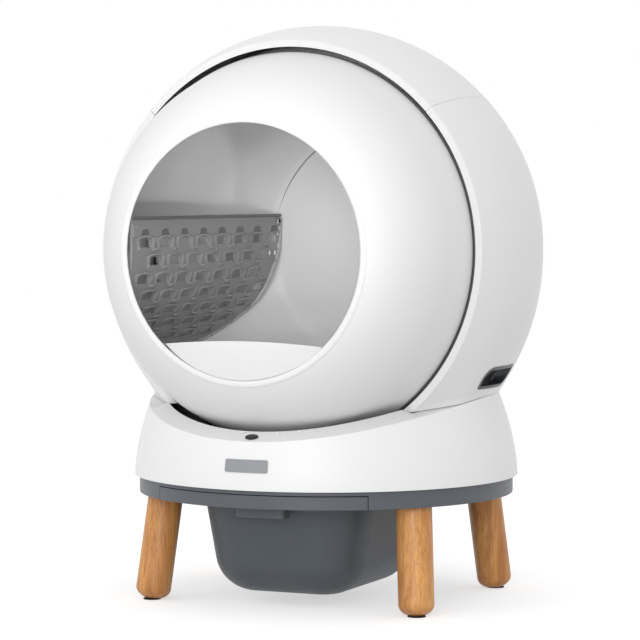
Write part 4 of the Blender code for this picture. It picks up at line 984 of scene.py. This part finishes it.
def sifterApron():
    # The plain band under the top edge; its lower edge leaves a mushroom notch between windows.
    s, m = sifter, lattice
    low, high = sifterLimits(m["apronTop"])
    y = np.linspace(float(low) + s["margin"], float(high) - s["margin"], m["apronSteps"])
    off = np.abs((y - s["firstY"] + s["pitch"] * 10) % s["pitch"] - s["pitch"] / 2)
    head = m["knobTop"] + m["knobRise"] * (1 - np.sqrt(np.clip(1 - (off / m["knobHalf"]) ** 2, 0, 1)))
    slope = np.clip((off - m["knobHalf"]) / (s["pitch"] / 2 - m["knobHalf"]), 0, 1)
    lobe = m["shoulder"] + (m["apronLow"] - m["shoulder"]) * slope ** m["shoulderPower"]
    step = np.clip((off - m["knobHalf"] + m["knobSoft"]) / (2 * m["knobSoft"]), 0, 1)
    lower = head + (lobe - head) * step
    run = m["apronTop"] + (lower - m["apronTop"]) * np.linspace(0, 1, m["apronRows"])[:, None]
    inner, outer = [sheetGrid(run, y[None, :], sheetFace + lift) for lift in m["apronLift"]]
    return wallOf(outer, inner)


def sifterNotchShade():
    # Painted shade in each mushroom notch: a flat dark oval just above the sheet.
    s, m = sifter, lattice
    low, high = sifterLimits(m["knobTop"] + m["notchTall"])
    middles = s["firstY"] + s["pitch"] * (np.arange(-3, s["columns"]) + 0.5)
    middles = middles[(middles > low + m["notchHalf"]) & (middles < high - m["notchHalf"])]
    turn = fullTurn(m["notchSteps"])
    run = m["knobTop"] + m["notchTall"] + m["notchGap"] - m["notchTall"] * np.cos(turn)
    ovals = []
    for y in middles:
        place = y + m["notchHalf"] * np.sin(turn)
        levels = [sheetFace + side * m["notchDeep"] for side in (-1, 1)]
        ovals.append(stackRings([sheetGrid(run, place, level) for level in levels]))
    return joinGrids(ovals)


trim = {
    "topRun": 0.002, "topSteps": 60, "beadRun": 0.0014, "beadSink": 0.0002, "beadThick": 0.0021,
    "rimRuns": ((0.004, 0.120, 70), (0.122, 0.175, 40)), "rimLift": 0.0004, "rimThick": 0.0022,
    "pinRuns": (0.0060, 0.0110, 4), "pinBack": 0.010, "pinLift": 0.0024, "pinThick": 0.0033, "pinSides": 20,
    "clipLong": 0.0052, "clipLift": 0.0008, "barSides": 10,
    # Start down the sheet, distance from the rear edge and thickness of each clip.
    "clips": ((0.0150, 0.008, 0.0013), (0.0455, 0.036, 0.0013), (0.0460, 0.020, 0.0016),
              (0.0215, 0.012, 0.0010), (0.0370, 0.010, 0.0010)), "clipSteps": 5,
}


def makeSifter():
    # The bent sheet, kept where it lies inside the drum and pierced by its windows, then what stands on it.
    s, t = sifter, trim
    run = sheetRuns[:, None]
    rear = np.interp(run, s["edgeRuns"], s["edgeYs"]) + s["lowExtra"] * (run > s["edgeRuns"][-1])
    y = s["sheetFrontY"] + (rear - s["sheetFrontY"]) * np.linspace(0, 1, s["acrossSteps"])
    sheet = wallOf(sheetGrid(run, y, sheetFace), sheetGrid(run, y, -sheetFace))
    obj = dress("sifterPanel", sheet, "sifterDark", "drum", ["sifter"])
    cutWith(obj, cavityGrid(s["clear"]), "INTERSECT")
    cutWith(obj, slotCutters())
    # The lattice is a lighter copy of the sheet's plastic: painted highlight along its raised bars.
    dress("sifterLattice", sifterRelief(), "sifterGrey", "drum")
    dress("sifterApron", sifterApron(), "sifterDark", "drum", sharp=radians(50))
    dress("sifterNotchShade", sifterNotchShade(), "sifterShade", "drum")
    # The rolled top edge, the rim along the drum's wall and the pin that holds the far corner.
    low, high = [float(end) for end in sifterLimits(t["topRun"])]
    along = np.linspace(low, high, t["topSteps"])
    # The rolled top edge is dark: painted shadow for the line behind the sheet's top edge.
    bead = sifterBar(t["beadRun"], along, sheetFace - t["beadSink"], t["beadThick"], t["barSides"])
    dress("sifterBead", bead, "sifterShade", "drum")
    runs = np.concatenate([np.linspace(*part) for part in t["rimRuns"]])
    rim = sifterBar(runs, sifterLimits(runs)[1], sheetFace + t["rimLift"], t["rimThick"], t["barSides"])
    # The rim is a lighter copy of the sheet's plastic: painted highlight along the edge.
    dress("sifterRim", rim, "sifterEdgeHighlight", "drum")
    runs = np.linspace(*t["pinRuns"])
    pin = sifterBar(runs, high - t["pinBack"], t["pinLift"], t["pinThick"], t["pinSides"])
    dress("sifterPin", pin, "lensBlack", "drum")
    # Small clips by the far corner: real bars whose pale colour is a painted highlight for the glints there.
    clips = [sifterBar(start + np.linspace(0, t["clipLong"], t["clipSteps"]), high - back,
                       sheetFace + t["clipLift"], size, t["barSides"]) for start, back, size in t["clips"]]
    dress("sifterGlintClips", joinGrids(clips), "sifterGlintPaint", "drum")


def shadeBehindSifter(obj):
    # The bowl's wall behind the panel sees little light; its faces take a darker tone there.
    margin = sifter["shadeMargin"]
    sheetX, sheetZ = sifterPoint(sheetRuns)
    rear = sifterLimits(sheetRuns)[1]

    def hidden(x, y, z):
        behind = x < np.interp(z, sheetZ[::-1], sheetX[::-1]) - margin
        behind &= y < np.interp(z, sheetZ[::-1], rear[::-1]) - margin
        return behind & (z < axisHeight + sifter["top"] - 2 * margin) & (z > sheetZ[-1])

    toneFaces(obj, "drumShade", hidden)


entry = {
    "drop": 0.1005, "arch": 0.0052, "lean": radians(10), "thick": 0.003, "frontY": -0.2360, "gap": 0.0004,
    "widthShare": 0.9985, "round": 0.0007, "columns": 80, "rows": 14,
}


def makeEntry():
    # A leaning segment of a disc: a gently arched top edge, the mouth's circle below.
    e = entry
    half = sqrt(drum["mouth"] ** 2 - e["drop"] ** 2)
    tall = drum["mouth"] - e["drop"]
    share = np.linspace(-1, 1, e["columns"])
    x = half * share * e["widthShare"]
    top = -e["arch"] * share ** 2
    bottom = np.minimum(e["drop"] - np.sqrt((drum["mouth"] - e["gap"]) ** 2 - x ** 2), top - e["gap"])
    z = top + (bottom - top) * np.linspace(0, 1, e["rows"])[:, None]
    front, back = [spread(x, e["frontY"] + (tall + z) * tan(e["lean"]) + deep, axisHeight - e["drop"] + z)
                   for deep in (0.0, e["thick"])]
    # The threshold's white is a darker copy of the white plastic: painted shade inside the mouth.
    obj = dress("entryThreshold", wallOf(front, back), "entryWhiteShaded", "drum", ["entry_lip"])
    roundEdges(obj, e["round"])


makeSifter()
shadeBehindSifter(bowl)
makeEntry()
print("sifter and threshold made")


# Base housing, pan and drawer

base = {
    "radius": 0.229, "bottom": 0.1463, "wall": 0.0035, "flange": 0.012, "power": 1.7, "edgeRound": 0.0009,
    "ledge": 0.020, "rise": 0.010, "fade": 0.014, "columns": 300, "rows": 22, "rimPasses": 8,
    "ledgeGap": 0.0050, "cutPast": 0.004, "ledgeInside": 0.001,
    "ledgeShares": (0.25, 0.5, 0.75, 1.0), "innerShares": (0.35, 0.7),
    "panRadius": 0.2233, "panBottom": 0.1252, "panTop": 0.146, "panWall": 0.0037, "panRound": 0.0007,
    "panStep": 0.008, "frontColumns": 60, "panColumns": 200,
    "plate": 0.004, "plateOver": 0.0002, "plateSteps": 150, "slotHalf": 0.1125, "slotBack": 0.112,
}


def housingRadius(z):
    # The base's wall flares from the shell's waist to its foot by a power of the height.
    climb = np.maximum(z - base["bottom"], 0) / (shell["waistHeight"] - base["bottom"])
    return base["radius"] - (base["radius"] - shell["waistRadius"]) * climb ** base["power"]


def housingRim(angle):
    # Radius and height where the flared wall meets the rim's parabola, by going from one to the other.
    radius = np.full(np.shape(angle), shell["waistRadius"])
    for _ in range(base["rimPasses"]):
        height = baseRim(-radius * np.cos(angle))
        radius = housingRadius(height)
    return radius, height


def ledgeHeight(angle, inward):
    # Height of the ledge a share of the way in: level with the shell's edge, but rising ahead of the rim.
    radius, height = housingRim(angle)
    front = smoothStep((shell["rimY"] + (radius - base["ledge"]) * np.cos(angle)) / base["fade"])
    seat = baseRim((base["ledge"] * inward - radius) * np.cos(angle)) - height
    return height + base["rise"] * inward * front + seat * (1 - front)


def ledgePlace(x, share):
    # Point and normal of the front ledge at an x and a share of the way in.
    angle = asin(x / shell["waistRadius"])
    radius, height = housingRim(np.array(angle))
    out = Vector((sin(angle), -cos(angle), 0))
    point = out * float(radius - base["ledge"] * share)
    point.z = float(height) + base["rise"] * share
    normal = (out * base["rise"] + Vector((0, 0, 1)) * base["ledge"]).normalized()
    return point, normal


def makeHousing():
    # One closed section for each direction: flared wall, rim, ledge, its underside, inner wall, foot flange.
    b, d = base, drum
    angle = fullTurn(b["columns"])
    radius, height = housingRim(angle)
    lines = []
    for share in np.linspace(0, 1, b["rows"]):
        z = b["bottom"] + (height - b["bottom"]) * share
        lines.append((housingRadius(z), z))
    for share in b["ledgeShares"]:
        lines.append((radius - b["ledge"] * share, ledgeHeight(angle, share)))
    lines.append((radius - b["ledge"], ledgeHeight(angle, 1.0) - b["wall"]))
    lines.append((radius - b["wall"], height - b["wall"] - b["rise"] * b["wall"] / b["ledge"]))
    foot = b["bottom"] + b["wall"]
    for share in b["innerShares"]:
        z = height - b["wall"] + (foot - height + b["wall"]) * share
        lines.append((housingRadius(z) - b["wall"], z))
    flange = b["radius"] - b["flange"]
    lines += [(housingRadius(foot) - b["wall"], foot), (flange, foot), (flange, b["bottom"])]
    across, up = [np.stack([np.broadcast_to(line[k], angle.shape) for line in lines], axis=1) for k in (0, 1)]
    points = aboutMiddle(angle[:, None], across, up).reshape(-1, 3)
    grid = (points, gridFaces(len(angle), len(lines), True, True))
    # The base's white is a lighter copy of the shell's: painted light on the base.
    obj = dress("baseHousing", grid, "baseWhiteLit", "housing", ["base_housing"])
    # Room for the turning drum: its own front, a gap wider, cut out of the ledge.
    dome = domeArc(0)[1:] + np.array([b["ledgeGap"], 0])
    frontY = d["lipY"] - b["cutPast"]
    behind = [[0, d["trackY"]], [d["dome"] + b["ledgeGap"], d["trackY"]]]
    ahead = [[dome[-1, 0], frontY], [0, frontY]]
    cutWith(obj, revolve(np.concatenate([behind, dome, ahead]), d["around"], closed=False))
    # Painted shade on the ledge: its faces take a greyer copy of the white than the wall in front of it, for
    # the drum's shadow over it.
    toneFaces(obj, "ledgePaintedShade", lambda x, y, z: np.hypot(x, y) < housingRadius(z) - b["ledgeInside"])
    low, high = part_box("dc_inlet")
    cutWith(obj, boxGrid(low - Vector((fit, fit, fit)), high + Vector((fit, fit, fit))))
    roundEdges(obj, b["edgeRound"])


drawer = {
    "halfAngle": radians(36), "tall": 0.0153, "gap": 0.0007, "frontRound": 0.0008, "frontSteps": (90, 5),
    "half": 0.110, "frontY": -0.168, "backY": 0.100, "bottom": 0.0152, "taper": 0.023, "corner": 0.072,
    "leastCorner": 0.0025, "floorRound": 0.037, "floorSteps": 14, "wallSteps": 7, "cornerSteps": 16,
    "binWall": 0.0025, "rim": 0.006, "rimThick": 0.0025, "rimRound": 0.0006, "trayTop": 0.1362,
    "floorShrink": (0.97, 0.97, 1), "floorShift": (0, -0.001, 0),
    "pullWall": 0.003, "pullRound": 0.0012, "pullSoft": 0.0006, "pullCorners": (0.006, 0.001),
    "pullStep": (0.0005, 0.0004),
}


def panBand(angles, heights, grow=0.0):
    # Outer and inner side of the upright band round the pan, its inner side grown by a distance.
    radii = (base["panRadius"], base["panRadius"] - base["panWall"] + grow)
    return [aboutMiddle(angles[:, None], radius, heights) for radius in radii]


def makePan():
    # The skirt: an upright band all round, its wall left out behind the drawer's front.
    b = base
    notch = drawer["halfAngle"] + drawer["gap"] / b["panRadius"]
    columns = b["frontColumns"]
    angles = np.concatenate([np.linspace(-notch, notch, columns + 1)[:-1],
                             np.linspace(notch, 2 * pi - notch, b["panColumns"])[:-1]])
    top = b["panBottom"] + drawer["tall"] + drawer["gap"]
    heights = np.array([b["panBottom"], b["panBottom"] + b["panStep"], top, b["panTop"]])
    outer, inner = [side.reshape(-1, 3) for side in panBand(angles, heights)]
    faces = gridFaces(len(angles), len(heights), True, False).reshape(len(angles), len(heights) - 1, 4)
    keep = np.ones(faces.shape[:2], bool)
    keep[:columns, :2] = False
    obj = dress("panSkirt", wallBetween(outer, inner, faces[keep]), "skirtGrey", "housing",
                ["base_pan"])
    roundEdges(obj, b["panRound"])
    # The plate: a disc less the drawer's slot, as two flat sides and an edge strip.
    radius = b["panRadius"] - b["panWall"] + b["plateOver"]
    start = asin(b["slotHalf"] / radius)
    arc = np.linspace(start, 2 * pi - start, b["plateSteps"])
    slot = [[x, b["slotBack"]] for x in (-b["slotHalf"], 0, b["slotHalf"])]
    outline = np.concatenate([np.column_stack([radius * np.sin(arc), -radius * np.cos(arc)]), slot])
    count = len(outline)
    points = [np.column_stack([outline, np.full(count, b["panBottom"] + up)]) for up in (0, b["plate"])]
    sides = [(i, (i + 1) % count, (i + 1) % count + count, i + count) for i in range(count)]
    flats = [tuple(range(count))[::-1], tuple(range(count, 2 * count))]
    plate = plainMesh("panPlate", np.concatenate(points).tolist(), sides + flats, looks["skirtGrey"])
    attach(plate, "housing")
    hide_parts("base_pan")


def makeDrawerFront():
    # The piece of the same band that closes the drawer.
    columns, rows = drawer["frontSteps"]
    angles = np.linspace(-drawer["halfAngle"], drawer["halfAngle"], columns)
    heights = np.linspace(base["panBottom"], base["panBottom"] + drawer["tall"], rows)
    obj = dress("drawerFront", wallOf(*panBand(angles, heights, fit)), "skirtGrey", "drawer",
                ["drawer_front"])
    roundEdges(obj, drawer["frontRound"])


def binRing(z, inset):
    # A rounded rectangle that draws in to the floor by a straight taper and a quarter circle.
    d = drawer
    climb = (z - d["bottom"]) / (base["panTop"] - d["bottom"])
    inset = inset + d["taper"] * (1 - climb)
    above = min(max((z - d["bottom"]) / d["floorRound"], 0), 1)
    inset += d["floorRound"] * (1 - sqrt(1 - (1 - above) ** 2))
    half, front, back = d["half"] - inset, d["frontY"] + inset, d["backY"] - inset
    corner = max(d["corner"] - inset, d["leastCorner"])
    turn = np.linspace(0, pi / 2, d["cornerSteps"] + 1)
    right, left, rear, fore = half - corner, -half + corner, back - corner, front + corner
    corners = ((right, rear, turn), (left, rear, turn + pi / 2), (left, fore, turn + pi),
               (right, fore, turn + 1.5 * pi))
    return np.concatenate([spread(x + corner * np.cos(a), y + corner * np.sin(a), z) for x, y, a in corners])


def makeBin():
    # The tub as stacked rings: floor and wall outside, rim, then wall and floor inside.
    d = drawer
    low = d["trayTop"] + fit
    high, soft = low + d["rimThick"], d["rimRound"]
    floor = d["bottom"] + d["floorRound"] * (1 - np.cos(np.linspace(0, pi / 2, d["floorSteps"] + 1)))
    wallUp = np.linspace(floor[-1], low, d["wallSteps"] + 1)[1:]
    rings = [binRing(z, 0) for z in (*floor, *wallUp)]
    out, wall = -d["rim"], d["binWall"]
    rim = ((low, out + soft), (low + soft, out), (high - soft, out), (high, out + soft), (high, wall - soft),
           (high - soft, wall))
    rings += [binRing(z, inset) for z, inset in rim]
    rings += [binRing(z, wall) for z in (*wallUp[-2::-1], *floor[:0:-1])]
    last = rings[-1].copy()
    last[:, 2] = d["bottom"] + wall
    rings.append(last * np.array(d["floorShrink"]) + np.array(d["floorShift"]))
    dress("wasteTub", stackRings(rings), "binGrey", "drawer", ["waste_bin"])


def makePull():
    # The pull tab: a rounded box, open below, with a soft front.
    d = drawer
    low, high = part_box("drawer_pull")
    front, back = d["pullCorners"]
    outline = roundProfile([(low.x, low.y, front), (high.x, low.y, front), (high.x, high.y, back),
                            (low.x, high.y, back)], 6)
    size = np.array([high.x - low.x, high.y - low.y]) / 2
    middle = np.array([high.x + low.x, high.y + low.y]) / 2

    def ring(inset, z):
        return np.column_stack([middle + (outline - middle) * (1 - inset / size), np.full(len(outline), z)])

    wall, soft = d["pullWall"], d["pullSoft"]
    inside, above = d["pullStep"]
    rings = [ring(wall, base["panBottom"]), ring(wall, low.z + above), ring(wall - inside, low.z),
             ring(soft, low.z), ring(0, low.z + soft), ring(0, high.z - soft), ring(soft, high.z)]
    obj = dress("pullTab", stackRings(rings), "skirtGrey", "drawer", ["drawer_pull"])
    roundEdges(obj, d["pullRound"])


makeHousing()
makePan()
makeDrawerFront()
makeBin()
makePull()
print("base and drawer made")


# Legs

leg = {
    "foot": (0.169, 0.128), "top": (0.1585, 0.111), "radius": 0.0207, "end": 0.0135, "padTop": 0.0015,
    "around": 64, "bend": (0.30, pi / 2, 12), "shaft": 0.124, "shaftShares": (0.15, 1, 16),
    "topStep": 0.003, "topSpare": 0.002,
}


def makeLeg(sx, sy, sideWord, endWord):
    # A straight turned leg leaning outwards; its end is an ellipse of revolution, its top is level.
    g = leg
    foot = np.array([sx * g["foot"][0], sy * g["foot"][1], 0.0])
    top = np.array([sx * g["top"][0], sy * g["top"][1], base["panBottom"]])
    axis = (top - foot) / np.linalg.norm(top - foot)
    across = np.cross(axis, [0, 1, 0])
    across /= np.linalg.norm(across)
    other = np.cross(axis, across)
    turn = fullTurn(g["around"])[:, None]
    circle = (np.cos(turn) * across + np.sin(turn) * other) * g["radius"]
    rings = [foot + axis * (g["end"] * (1 - cos(a))) + circle * sin(a) for a in np.linspace(*g["bend"])]
    rings += [foot + axis * (g["end"] + (g["shaft"] - g["end"]) * share) + circle
              for share in np.linspace(*g["shaftShares"])[:-1]]
    start = foot + circle
    before, last = [start + axis * ((base["panBottom"] - fit - under - start[:, 2:]) / axis[2])
                    for under in (g["topStep"], 0.0)]
    rings = [ring for ring in rings if ring[:, 2].max() < before[:, 2].min() - g["topSpare"]]
    rings += [before, last]
    for ring in rings:
        ring[:, 2] = np.maximum(ring[:, 2], g["padTop"])
    dress("woodLeg" + endWord + sideWord, stackRings(rings), "legWood", "housing",
          ["leg_" + endWord.lower() + "_" + sideWord.lower()])


for sx, sideWord in ((-1, "Left"), (1, "Right")):
    for sy, endWord in ((-1, "Front"), (1, "Rear")):
        makeLeg(sx, sy, sideWord, endWord)
print("legs made")


# Small pieces on the base

badge = {
    "half": 0.0265, "low": 0.1668, "high": 0.1812, "x": 0.0015, "thick": 0.0012, "corner": 0.0022,
    "leastCorner": 0.0002, "soft": 0.0003, "border": (0.0012, 0.0014), "sunk": 0.0002, "leastHalf": 0.00002,
}


def makeBadge():
    # A plate bent round the base's wall: rounded rectangles, one inside the other, at their distance from it.
    b = badge
    middle = (b["low"] + b["high"]) / 2
    half = (b["high"] - b["low"]) / 2

    def ring(inset, out):
        w, h = b["half"] - inset, half - inset
        size = max(b["corner"] - inset * 0.5, b["leastCorner"])
        x, up = densify(roundProfile([(-w, -h, size), (w, -h, size), (w, h, size), (-w, h, size)]), 8).T
        z = middle + up
        return aboutMiddle(np.arcsin((b["x"] + x) / base["radius"]), housingRadius(z) + out, z)

    top = fit + b["thick"]
    deep, face = half - b["leastHalf"], top - b["sunk"]
    rings = [(deep, fit), (half / 2, fit), (0, fit), (0, top - b["soft"]), (b["soft"], top),
             (b["border"][0], top), (b["border"][1], face), (half / 2, face), (deep, face)]
    dress("badgePlate", stackRings([ring(*pair) for pair in rings], caps=False), "badgeGrey", "housing",
          ["name_plate"])


sensor = {
    "x": 0.002, "share": 0.42, "size": (0.0080, 0.0055), "steps": 40,
    # Share of the size and height above the ledge.
    "levels": ((0.9, fit), (1.0, fit), (1.0, 0.0008), (0.96, 0.0013), (0.90, 0.0014), (0.86, 0.0011),
               (0.6, 0.0016), (0.3, 0.0018)),
}


def makeSensor():
    # A flat stack of ovals on the sloping ledge, rising to a low dome.
    point, normal = ledgePlace(sensor["x"], sensor["share"])
    slope = np.array(Vector((0, 0, 1)).rotation_difference(normal).to_matrix())
    turn = fullTurn(sensor["steps"])
    x, y = sensor["size"][0] * np.cos(turn), sensor["size"][1] * np.sin(turn)
    flats = [spread(x * scale, y * scale, height) for scale, height in sensor["levels"]]
    rings = [np.array(point) + flat @ slope.T for flat in flats]
    dress("sensorLens", stackRings(rings), "lensBlack", "housing", ["sensor_window"])


makeBadge()
makeSensor()
print("small pieces made")


# Stage, lights and camera

stage = {
    "floorHalf": 7.0, "floorColour": (0.62, 0.62, 0.62), "floorGlow": 0.56, "paperShade": 0.99,
    "paperScale": 300.0, "worldLevel": 0.80, "snootBlend": 0.6, "snootSize": 0.12,
    "cameraPlace": (1.34249, -3.02958, 0.48824), "cameraTurn": (radians(90 - 2.76), 0, radians(24.03)),
    "lens": 155.9, "sensor": 36.0, "farEnd": 50.0,
}
lamps = (   # name, energy, place, target, then the sides of a soft panel or the angle of a narrow beam
    ("frontSoftbox", 29.0, (0.75, -3.2, 0.95), (0, 0, 0.40), (1.5, 1.2)),
    ("keySoftbox", 9.0, (-1.7, -2.4, 1.7), (0, 0, 0.35), (2.0, 2.0)),
    ("sideSnoot", 50.0, (1.75, -2.7, 0.50), (-0.005, -0.22, 0.440), radians(4.8)),
    ("nearSnoot", 85.0, (0.55, -3.2, 0.45), (0.0, -0.22, 0.445), radians(4.9)),
    ("lowSnoot", 62.0, (0.90, -3.0, 0.15), (0.0, -0.22, 0.440), radians(4.8)),
    ("leftSnoot", 135.0, (1.9, -2.3, 0.10), (-0.03, -0.22, 0.470), radians(3.9)),
    ("topSoftbox", 0.5, (0.2, 0.2, 2.8), (0, 0, 0.3), (2.4, 2.4)),
)


def brightForEye(tree):
    # 1 for camera, glossy and transmission rays, which all see the pale background.
    path = addNode(tree, "LightPath").outputs
    seen = calc(tree, "MAXIMUM", path["Is Camera Ray"], path["Is Glossy Ray"])
    return calc(tree, "MAXIMUM", seen, path["Is Transmission Ray"])


def makeWorld():
    # Even light from all round, at full level only for the rays that see the background.
    world = bpy.data.worlds.new("studio")
    bpy.context.scene.world = world
    world.use_nodes = True
    inputs = world.node_tree.nodes["Background"].inputs
    feed(world.node_tree, inputs["Color"], (1, 1, 1))
    level = rangeOf(world.node_tree, brightForEye(world.node_tree), 0, 1, stage["worldLevel"], 1.0)
    feed(world.node_tree, inputs["Strength"], level)


def makeFloor():
    # A large pale square that glows for the camera, so that it fades into the background.
    made = bpy.data.materials.new("floorPaper")
    made.use_nodes = True
    tree = made.node_tree
    inputs = tree.nodes["Principled BSDF"].inputs
    paper = noise(tree, objectPlace(tree), stage["paperScale"])
    shade = tuple(c * stage["paperShade"] for c in stage["floorColour"])
    feed(tree, inputs["Base Color"], mixColour(tree, paper, shade, stage["floorColour"]))
    feed(tree, inputs["Roughness"], 0.9)
    feed(tree, inputs["Specular IOR Level"], 0.0)
    feed(tree, inputs["Emission Color"], (1, 1, 1))
    feed(tree, inputs["Emission Strength"], calc(tree, "MULTIPLY", brightForEye(tree), stage["floorGlow"]))
    half = stage["floorHalf"]
    corners = [(-half, -half, 0), (half, -half, 0), (half, half, 0), (-half, half, 0)]
    floor = plainMesh("studioFloor", corners, [(0, 1, 2, 3)], made)


def makeLamp(name, energy, place, target, opening):
    # A soft rectangular panel, or a narrow soft-edged beam that reaches the drum's inside through the mouth.
    panel = isinstance(opening, tuple)
    data = bpy.data.lights.new(name, "AREA" if panel else "SPOT")
    data.energy = energy
    if panel:
        data.shape = "RECTANGLE"
        data.size, data.size_y = opening
    else:
        data.spot_size = opening
        data.spot_blend = stage["snootBlend"]
        data.shadow_soft_size = stage["snootSize"]
    lamp = linkNew(name, data)
    lamp.location = place
    lamp.rotation_euler = (Vector(target) - Vector(place)).to_track_quat("-Z", "Y").to_euler()


def makeCamera():
    # The camera that was fitted to the photograph.
    data = bpy.data.cameras.new("photoCamera")
    data.lens = stage["lens"]
    data.sensor_width = stage["sensor"]
    data.clip_end = stage["farEnd"]
    camera = linkNew("photoCamera", data)
    camera.location = stage["cameraPlace"]
    camera.rotation_euler = stage["cameraTurn"]
    bpy.context.scene.camera = camera


makeWorld()
makeFloor()
for lampValues in lamps:
    makeLamp(*lampValues)
makeCamera()
bpy.context.scene.view_settings.view_transform = "Standard"
print("stage, lights and camera made")
